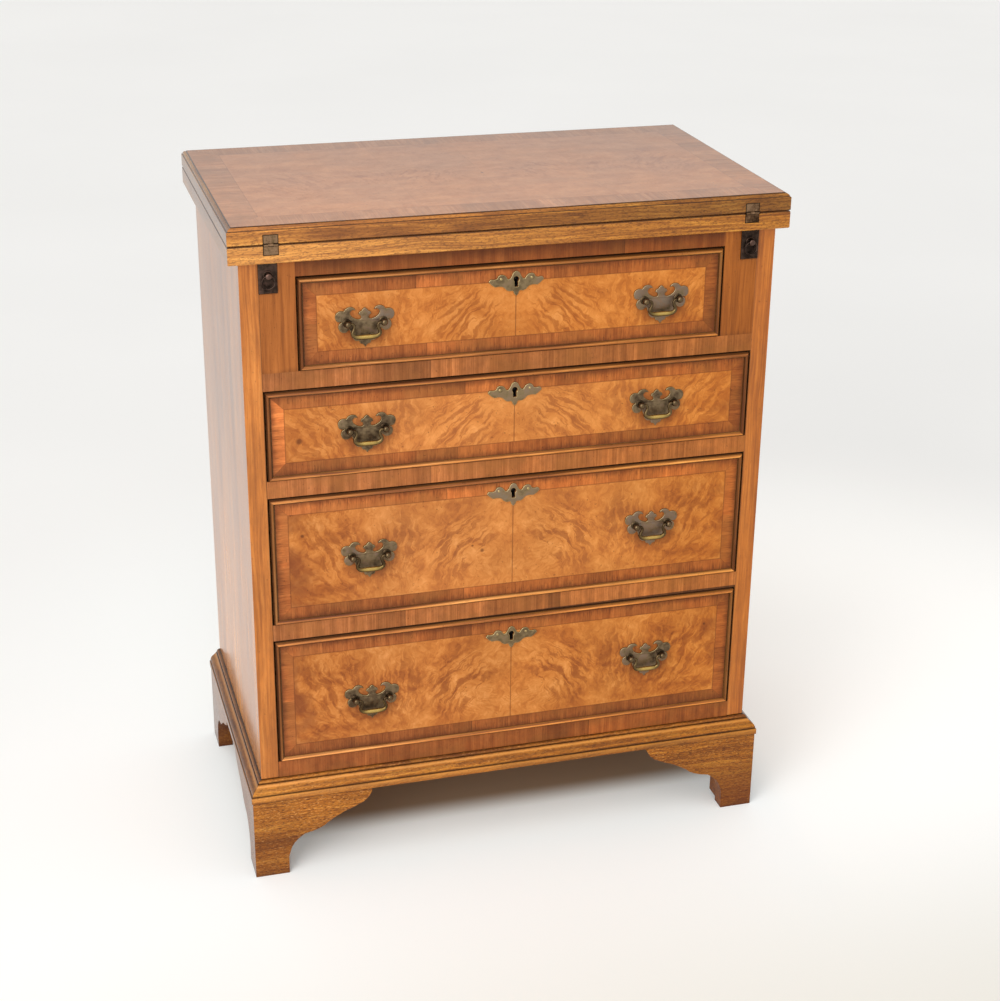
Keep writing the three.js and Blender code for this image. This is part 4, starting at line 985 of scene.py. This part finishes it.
for kind in ("hinge_lower", "hinge_upper"):
    plate_brass = metal(kind, (186, 158, 122), ((54, 38, 26), (102, 76, 54), (148, 118, 90), (112, 90, 64)),
                        0.42, 3.0, centre_and_half(f"{kind}_right"))
    for side_name in SIDES:
        coat(f"{kind}_{side_name}", plate_brass, 0.25)
for side_name in SIDES:
    for place in ("front", "back"):
        coat(f"foot_{place}_{side_name}", mahogany_foot, 1.1, 3)
    coat(f"side_{side_name}", side_wood, 0.8, 3)
    coat(f"loper_case_{side_name}", stile_wood)
coat("base_frame_back", pine_x)
coat("back_panel", pine_z)
for node, name, *details in (
        ("bottom_board", "bottom", 5.0, (0.096,), 0.88, "border"),
        # The top rail's lower tone and dark top are painted shadow of the leaf above.
        ("top_rail", "top", 1.0, (0.119,), 0.80, "border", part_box("top_rail")[1].z),
        ("rail_under_drawer_1", "one", 2.0, (-0.093,), 1.00),
        ("rail_under_drawer_2", "two", 3.0, (-0.093,), 1.16),
        ("rail_under_drawer_3", "three", 4.0, (-0.123, 0.057), 1.10, "rail", 0.0,
         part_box("rail_under_drawer_3")[0].z)):
    coat(node, finish_material(f"rail_{name}", rail, *details, specular=0.22))
for node, seed, arris in (("lower_leaf", 3.0, 0.5), ("upper_leaf", 6.0, 0.35)):
    coat(node, finish_material(f"walnut_{node}", leaf, node, seed, specular=0.35), arris)
for number in DRAWERS:
    veneer = finish_material(f"veneered_drawer_{number}", drawer_front, number, specular=0.22)
    coat(f"drawer_{number}_front", veneer, 0.35)
    coat(f"drawer_{number}_box", lining_y)
    coat(f"drawer_{number}_bottom", pine_x)


# Base mouldings

BASE_PROFILE = (
    [(1, 0), (1, 0.29)],
    [(1, 0.29), (0.9, 0.32)],
    [(0.9, 0.32), (0.91, 0.37), (0.87, 0.47), (0.75, 0.58), (0.57, 0.67), (0.42, 0.75), (0.36, 0.82)],
    [(0.36, 0.82), (0.27, 0.82)],
    [(0.27, 0.82), (0.29, 0.87), (0.23, 0.94), (0.12, 0.98), (0, 1)],
)
MITRE_GAP = 0.15 * MM


def base_section():
    """The section of the base moulding as overhangs and heights, its hollows with dirt and painted shade, and its
    worn crests with painted highlights.
    """
    low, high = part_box("base_frame_front")
    overhang = CARCASS_FRONT - low.y
    seat = CARCASS_FRONT - high.y
    curve = np.vstack([catmull(stretch, 6 if len(stretch) > 2 else 2) for stretch in BASE_PROFILE])

    def near(span, *spots):
        gaps = np.linalg.norm(curve[:, None] - np.array(spots), axis=2)
        return np.append(np.clip(1 - gaps.min(1) / span, 0, 1), [0, 0])

    # Painted shade in the fillet corners, against the carcass and across the cove; worn crests with painted
    # highlight on the upper slope and the nose.
    hollow = np.maximum(near(0.11, (0.9, 0.33), (0.3, 0.82)), near(0.24, (0.0, 1.0)))
    hollow = np.maximum(hollow, near(0.16, (0.72, 0.60)) * 0.34)
    out = np.append(curve[:, 0] * overhang, [seat, seat])
    height = np.append(low.z + curve[:, 1] * (high.z - low.z), [high.z, low.z])
    return out, height, hollow, near(0.14, (0.46, 0.73), (1.0, 0.24))


def moulding(place, material, *stations):
    """The base section carried from one end to the other: each station turns it into place."""
    out, height, hollow, wear = base_section()
    rings = [np.stack(np.broadcast_arrays(*station(out), height), 1) for station in stations]
    form = shell(np.vstack(rings), closed_rings(len(rings), len(out)),
                 hollow=np.tile(hollow, len(rings)), wear=np.tile(wear, len(rings)))
    made = mesh_object(f"base_moulding_{place}", [form], material, 30)
    enter(made, "carcass", f"base_frame_{place}")


moulding("front", mahogany_x,
         lambda out: (-CARCASS_HALF - out + MITRE_GAP, CARCASS_FRONT - out),
         lambda out: (CARCASS_HALF + out - MITRE_GAP, CARCASS_FRONT - out))
for side_name, sign in SIDES.items():
    moulding(side_name, mahogany_y,
             lambda out, sign=sign: (sign * (CARCASS_HALF + out), CARCASS_FRONT - out + MITRE_GAP),
             lambda out, sign=sign: (sign * (CARCASS_HALF + out), CARCASS_BACK))


# Pulls and escutcheons: outlines in shares of their half width, sizes in millimetres

BATWING = (
    [(0, -0.88), (0.08, -0.78), (0.17, -0.75), (0.2, -0.66)],
    [(0.2, -0.66), (0.32, -0.65), (0.42, -0.56), (0.47, -0.4), (0.53, -0.24)],
    [(0.53, -0.24), (0.66, -0.34), (0.82, -0.31), (0.9, -0.17), (0.87, -0.03), (0.78, 0.03)],
    [(0.78, 0.03), (0.93, 0.05), (1, 0.18), (0.97, 0.33), (0.85, 0.41), (0.71, 0.4)],
    [(0.71, 0.4), (0.62, 0.5), (0.5, 0.535), (0.38, 0.5), (0.31, 0.41)],
    [(0.31, 0.41), (0.42, 0.42), (0.5, 0.34), (0.46, 0.22), (0.34, 0.13), (0.2, 0.09), (0.125, 0.13)],
    [(0.125, 0.13), (0.14, 0.21), (0.22, 0.27)],
    [(0.22, 0.27), (0.18, 0.35), (0.12, 0.37)],
    [(0.12, 0.37), (0.07, 0.44), (0, 0.49)],
)
BATWING_HALF = 31.1
BATWING_FOOT = -BATWING[0][0][1] * BATWING_HALF
ESCUTCHEON = (
    [(0, -0.6), (0.07, -0.53), (0.1, -0.45), (0.15, -0.41)],
    [(0.15, -0.41), (0.26, -0.42), (0.37, -0.36), (0.46, -0.27), (0.6, -0.235), (0.76, -0.25)],
    [(0.76, -0.25), (0.88, -0.17), (1, -0.05)],
    [(1, -0.05), (0.93, 0.04), (0.8, 0.03), (0.7, 0.05)],
    [(0.7, 0.05), (0.63, 0.16), (0.52, 0.19), (0.4, 0.14), (0.31, 0.01)],
    [(0.31, 0.01), (0.23, 0.03), (0.17, 0.12), (0.1, 0.25), (0, 0.3)],
)
BAIL = ((0.84, 0), (0.74, -0.01), (0.67, -0.09), (0.645, -0.26), (0.7, -0.47), (0.755, -0.66),
        (0.71, -0.85), (0.55, -0.97), (0.28, -1), (0, -1))
BAIL_DROP = 14.6
POST_OFFSET = 19.2
PIVOT_REACH = 7.4
POST_BALL = 3.8
POST_BORE = 2.05
BORE_FROM, BORE_TO = 14.0, 19.9


def post():
    """A turned post: flange, waisted neck and ball, its pivot at the middle of the ball."""
    steps = range(16)
    rows = [(4.7, 0.7), (4.7, 1.7), (4.3, 2.1), (3.4, 2.4), (2.75, 2.8), (2.55, 3.4), (2.6, 4.1)]
    rows += dome(POST_BALL, POST_BALL, PIVOT_REACH, np.linspace(-0.92, math.pi / 2 - 0.02, 16))
    hollow = [1.0, 0.2, 0.0, 0.5, 0.9, 0.6, 0.8] + [max(0.0, 0.7 - 0.18 * i) for i in steps]
    wear = [0.0] * 7 + [min(0.55, max(0.0, (i - 6) * 0.08)) for i in steps]
    return turned(rows, 28, hollow, wear)


def pull_plate_masters():
    """Batwing plate with its two posts, each ball bored from the inside for the bail's tip."""
    plate = rimmed_plate(mirrored_outline(BATWING, BATWING_HALF),
                         ((0.0, 0.0), (0.0, 0.75), (0.1, 1.02), (0.3, 1.26), (0.62, 1.4)),
                         [1.0, 0.8, 0.25, 0.0, 0.15], [0.0, 0.05, 0.42, 0.58, 0.04])
    posts = []
    for sign in (-1, 1):
        posts.append(mesh_object("post", [moved(post(), (sign * POST_OFFSET * MM, 0, 0))], post_brass))
        start, end = ((sign * out * MM, -PIVOT_REACH * MM, 0) for out in (BORE_FROM, BORE_TO))
        bored(posts[-1], POST_BORE * MM, start, end)
    return [mesh_object("pull_plate_master", [plate], brass, 50)] + posts


def bail_master():
    """Swan-neck bail: a bar that swells from its tips to the grip, by the square of the sine."""
    half = catmull(BAIL, 8) * (POST_OFFSET, BAIL_DROP)
    right = np.vstack([[(POST_OFFSET - 0.5, 0.0)], half])
    path = np.vstack([right * (-1, 1), right[-2::-1]])
    length = np.append(0, np.cumsum(np.linalg.norm(np.diff(path, axis=0), axis=1)))
    swell = np.sin(length / length[-1] * np.pi)
    line = np.stack([path[:, 0], 0 * path[:, 0], path[:, 1]], 1) * MM
    # The grip takes wear and painted highlight on top and painted shade beneath.
    form = tube(line, (1.5 + 1.1 * swell ** 2) * MM, (0.0, 1.0, 0.0), wear=np.clip(swell ** 8 * 1.1, 0, 0.9))
    return mesh_object("bail_master", [form], grip_brass, 60)


def keyhole_outline():
    """The bow of the keyhole as an arc, and its slot as straight lines, in millimetres."""
    half_slot, radius, drop = 1.95, 3.1, 8.3
    shoulder = math.asin(half_slot / radius)
    angle = np.linspace(shoulder - math.pi / 2, math.pi * 1.5 - shoulder, 25)
    arc = np.stack([radius * np.cos(angle), radius * np.sin(angle)], 1)
    depth = np.linspace(arc[-1, 1], -drop, 5)[1:]
    down = [(-half_slot, at) for at in depth]
    foot = [(at, -drop) for at in np.linspace(-half_slot, half_slot, 5)[1:-1]]
    up = [(half_slot, at) for at in depth[::-1]]
    return np.vstack([arc, down, foot, up])


def escutcheon_forms():
    """Escutcheon with a pierced keyhole and two domed pins."""
    plate = rimmed_plate(mirrored_outline(ESCUTCHEON, ESCUTCHEON_HALF),
                         ((0.0, 0.0), (0.0, 0.65), (0.12, 0.92), (0.35, 1.1), (0.7, 1.2)),
                         [0.9, 0.5, 0.1, 0.0, 0.1], [0.0, 0.2, 0.8, 0.9, 0.2], keyhole_outline())
    rows = [(1.75, 0.6)] + dome(1.7, 0.9, 1.2, np.linspace(0, math.pi / 2 - 0.05, 7))
    pin = turned(rows, 20, [1.0, 0.9] + [0.0] * 6, [0.0, 0.0, 0.4, 0.7] + [0.9] * 4)
    out, up = 16.7 * MM, 1.1 * MM
    return [plate] + [moved(pin, (sign * out, 0, up)) for sign in (-1, 1)]


masters = pull_plate_masters()
bail = bail_master()
escutcheon = mesh_object("escutcheon_master", escutcheon_forms(), brass, 50)
for number in DRAWERS:
    body = f"drawer_{number}"
    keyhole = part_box(f"{body}_escutcheon")[0].z + KEYHOLE_FROM_FOOT
    plate = placed_copy(escutcheon, f"{body}_keyhole_plate", (0, CARCASS_FRONT, keyhole))
    enter(plate, body, f"{body}_escutcheon")
    for side_name in SIDES:
        packed_plate = f"{body}_pull_plate_{side_name}"
        packed_bail = f"{body}_bail_{side_name}"
        label = f"{body}_batwing_{side_name}"
        out = centre_and_half(packed_plate)[0].x
        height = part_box(packed_plate)[0].z + BATWING_FOOT * MM
        for master, suffix in zip(masters, ("", "_post_left", "_post_right")):
            piece = placed_copy(master, label + suffix, (out, CARCASS_FRONT, height))
            enter(piece, body, None if suffix else packed_plate)
        handle = placed_copy(bail, f"{label}_handle", (out, CARCASS_FRONT - PIVOT_REACH * MM, height))
        enter(handle, packed_bail, packed_bail)
for spare in masters + [bail, escutcheon]:
    bpy.data.objects.remove(spare)


# Lopers: a bar that slides beside the top drawer, its bronze plate, and a ring hung in a bored boss

BAR_WIDTH = 18.0
BAR_ROUNDING = 0.8
PEG_RADIUS = 4.0
PEG_FROM_BACK = 14.0
PEG_RISE = 0.05
LOPER_PLATE = (19.6, 33.2)
LOPER_PLATE_GAP = 0.3
BOSS_BORE = 2.5
BOSS_BORE_HALF = 6.0
BOSS_BORE_REACH = 5.4
RING_RADIUS = 6.8
RING_WIRE = 1.15


def rounded_rectangle(width, height, corner, steps=4):
    """A rectangle whose corners are quarter circles, counted anticlockwise, in millimetres."""
    out, up = width / 2 - corner, height / 2 - corner
    corners = []
    for index, (to_x, to_z) in enumerate(((1, 1), (-1, 1), (-1, -1), (1, -1))):
        angle = np.linspace(0, np.pi / 2, steps) + index * np.pi / 2
        corners.append(np.stack([to_x * out + corner * np.cos(angle), to_z * up + corner * np.sin(angle)], 1))
    return np.vstack(corners)


def loper_boss():
    """A turned boss: flange, barrel and domed end."""
    rows = [(5.0, 1.4), (5.0, 2.2), (4.6, 2.6), (3.7, 2.7), (3.3, 3.2)]
    rows += dome(3.3, 1.6, 7.7, np.linspace(0, math.pi / 2 - 0.02, 9))
    return turned(rows, 28, [1.0, 0.2, 0.0, 0.9, 0.5] + [0.0] * 9, [0.0, 0.0, 0.3, 0.0, 0.0] + [0.35] * 9)


def loper(side_name):
    """The bar with its stop peg, the plate and boss on its end, and the drop ring."""
    body = f"loper_{side_name}"
    packed_ring = f"loper_ring_{side_name}"
    low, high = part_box(body)
    centre = centre_and_half(packed_ring)[0].x
    middle = (low.z + high.z) / 2
    face = CARCASS_FRONT - LOPER_PLATE_GAP * MM
    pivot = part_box(packed_ring)[1].z - RING_WIRE * MM
    ring_reach = face - BOSS_BORE_REACH * MM

    section = rounded_rectangle(BAR_WIDTH, (high.z - low.z) / MM, BAR_ROUNDING) * MM + (centre, middle)
    ends = [np.insert(section, 1, y, axis=1) for y in (face, high.y)]
    bar = shell(np.vstack(ends), closed_rings(2, len(section)))
    enter(mesh_object(f"{body}_bar", [bar], loper_wood), body, body)
    inner = low.x if side_name == "right" else high.x
    start, end = ((x, high.y - PEG_FROM_BACK * MM, middle + PEG_RISE * MM) for x in (inner, centre))
    peg = rod(start, end, PEG_RADIUS * MM, 24)
    enter(mesh_object(f"{body}_peg", [peg], loper_wood), body)

    sheet = rimmed_plate(rounded_rectangle(*LOPER_PLATE, 0.6), ((0.0, 0.0), (0.0, 1.2), (0.12, 1.48), (0.4, 1.6)),
                         [1.0, 0.7, 0.3, 0.2], [0.0, 0.0, 0.25, 0.0])
    plate = moved(sheet, (centre, face, high.z - LOPER_PLATE[1] / 2 * MM))
    enter(mesh_object(f"{body}_plate", [plate], bronze, 50), body)
    boss = mesh_object(f"{body}_boss", [moved(loper_boss(), (centre, face, pivot))], bronze)
    start, end = ((centre + sign * BOSS_BORE_HALF * MM, ring_reach, pivot) for sign in (-1, 1))
    bored(boss, BOSS_BORE * MM, start, end)
    enter(boss, body)
    wire = hoop(RING_RADIUS * MM, RING_WIRE * MM, (centre, ring_reach, pivot - RING_RADIUS * MM))
    enter(mesh_object(f"{body}_drop_ring", [wire], bronze, 60), packed_ring, packed_ring)


for side_name in SIDES:
    loper(side_name)


# Room, lights and camera

FLOOR_HALF = 14.0


def room():
    """A pale seamless floor with a painted shadow under the chest and painted light round it, a broad low sun, a
    soft lamp on the left and a white surround.
    """
    floor_paint = bpy.data.materials.new("studio_floor")
    floor_paint.use_nodes = True
    s = Shade(floor_paint.node_tree)
    x, y = s.place()[:2]
    # A painted shadow on the floor under the chest.
    painted_shade_beneath = s.fade(s.most(abs(x) - 0.285, abs(y - 0.030) - 0.135), -0.036, 0.012)
    ground = s.over(
        s.mix(s.noise(x * 1.3, y * 1.3, 2.0, 3.0), paint(244, 243, 241), paint(250, 249, 247)),
        (s.near((x - 0.1) * 0.35, y + 0.75, 0.12, 0.58) * 0.8, (230, 225, 214)), (painted_shade_beneath * 0.88, (134, 103, 64)))
    # Emission seen only by the camera: painted light that brightens the floor away from the chest and lightens the
    # cast shadow to its right.
    painted_floor_light = s.mix(s.near(x - 0.15, y - 0.1, 0.35, 1.05), (0.02, 0.02, 0.015, 1), (0.09, 0.12, 0.125, 1))
    bright = s.near(x - 0.55, y - 0.25, 0.15, 0.80) * s.ease(x, 0.30, 0.37)
    painted_floor_light = s.tint(s.mix(bright, painted_floor_light, (0.21, 0.20, 0.18, 1)), 1.0 - painted_shade_beneath)
    seen = s.add("LightPath").outputs["Is Camera Ray"]
    shader = floor_paint.node_tree.nodes["Principled BSDF"]
    for label, value in (("Base Color", ground), ("Emission Color", s.tint(painted_floor_light, seen)), ("Emission Strength", 1.0),
                         ("Roughness", 0.75), ("Specular IOR Level", 0.2)):
        s.feed(shader.inputs[label], value)
    mesh = bpy.data.meshes.new("studio_floor")
    corners = [(to_x * FLOOR_HALF, to_y * FLOOR_HALF, 0) for to_x, to_y in ((-1, -1), (1, -1), (1, 1), (-1, 1))]
    mesh.from_pydata(corners, [], [(0, 1, 2, 3)])
    mesh.materials.append(floor_paint)
    linked("studio_floor", mesh)

    world = bpy.data.worlds.new("studio")
    bpy.context.scene.world = world
    world.use_nodes = True
    world.node_tree.nodes.clear()
    s = Shade(world.node_tree)
    rays = s.add("LightPath").outputs
    seen = s.most(s.most(rays["Is Camera Ray"], rays["Is Glossy Ray"]), rays["Is Transmission Ray"])
    colour = s.mix(seen, (0.62, 0.62, 0.62, 1), paint(243, 242, 240))
    background = s.add("Background", (), {"Color": colour, "Strength": 1.0})
    s.add("OutputWorld", (), {"Surface": background.outputs[0]})

    sun = bpy.data.lights.new("window_light", "SUN")
    sun.energy = 1.28
    sun.angle = math.radians(60)
    lamp = bpy.data.lights.new("soft_lamp", "AREA")
    lamp.shape = "RECTANGLE"
    lamp.size, lamp.size_y = 0.9, 1.1
    lamp.energy = 13.0
    for light, place in ((sun, (-1.11, -1.58, 2.30)), (lamp, (-1.35, -1.50, 1.05))):
        holder = linked(light.name, light)
        holder.location = place
        holder.rotation_euler = (Vector((0, 0, 0.4)) - Vector(place)).to_track_quat("-Z", "Y").to_euler()


EYE = Vector((-0.54780, -1.84606 + CARCASS_FRONT, 1.26713))
VIEW_ANGLES = (-16.0975, 23.4678, 0.6223)  # azimuth, elevation and roll in degrees
SENSOR = 36.0
FOCAL_PIXELS = 1910.38
PICTURE_WIDTH = 1001


def camera():
    """The photograph's own viewpoint, fitted to the corners of the chest."""
    azimuth, elevation, roll = map(math.radians, VIEW_ANGLES)
    turns = ((azimuth, "Z"), (math.pi / 2 - elevation, "X"), (roll, "Z"))
    place = Matrix.Translation(EYE)
    for angle, axis in turns:
        place = place @ Matrix.Rotation(angle, 4, axis)
    lens = bpy.data.cameras.new("view")
    lens.sensor_width = SENSOR
    lens.lens = SENSOR * FOCAL_PIXELS / PICTURE_WIDTH
    holder = linked("view", lens)
    holder.matrix_world = place
    bpy.context.scene.camera = holder


room()
camera()
bpy.context.scene.view_settings.view_transform = "Standard"
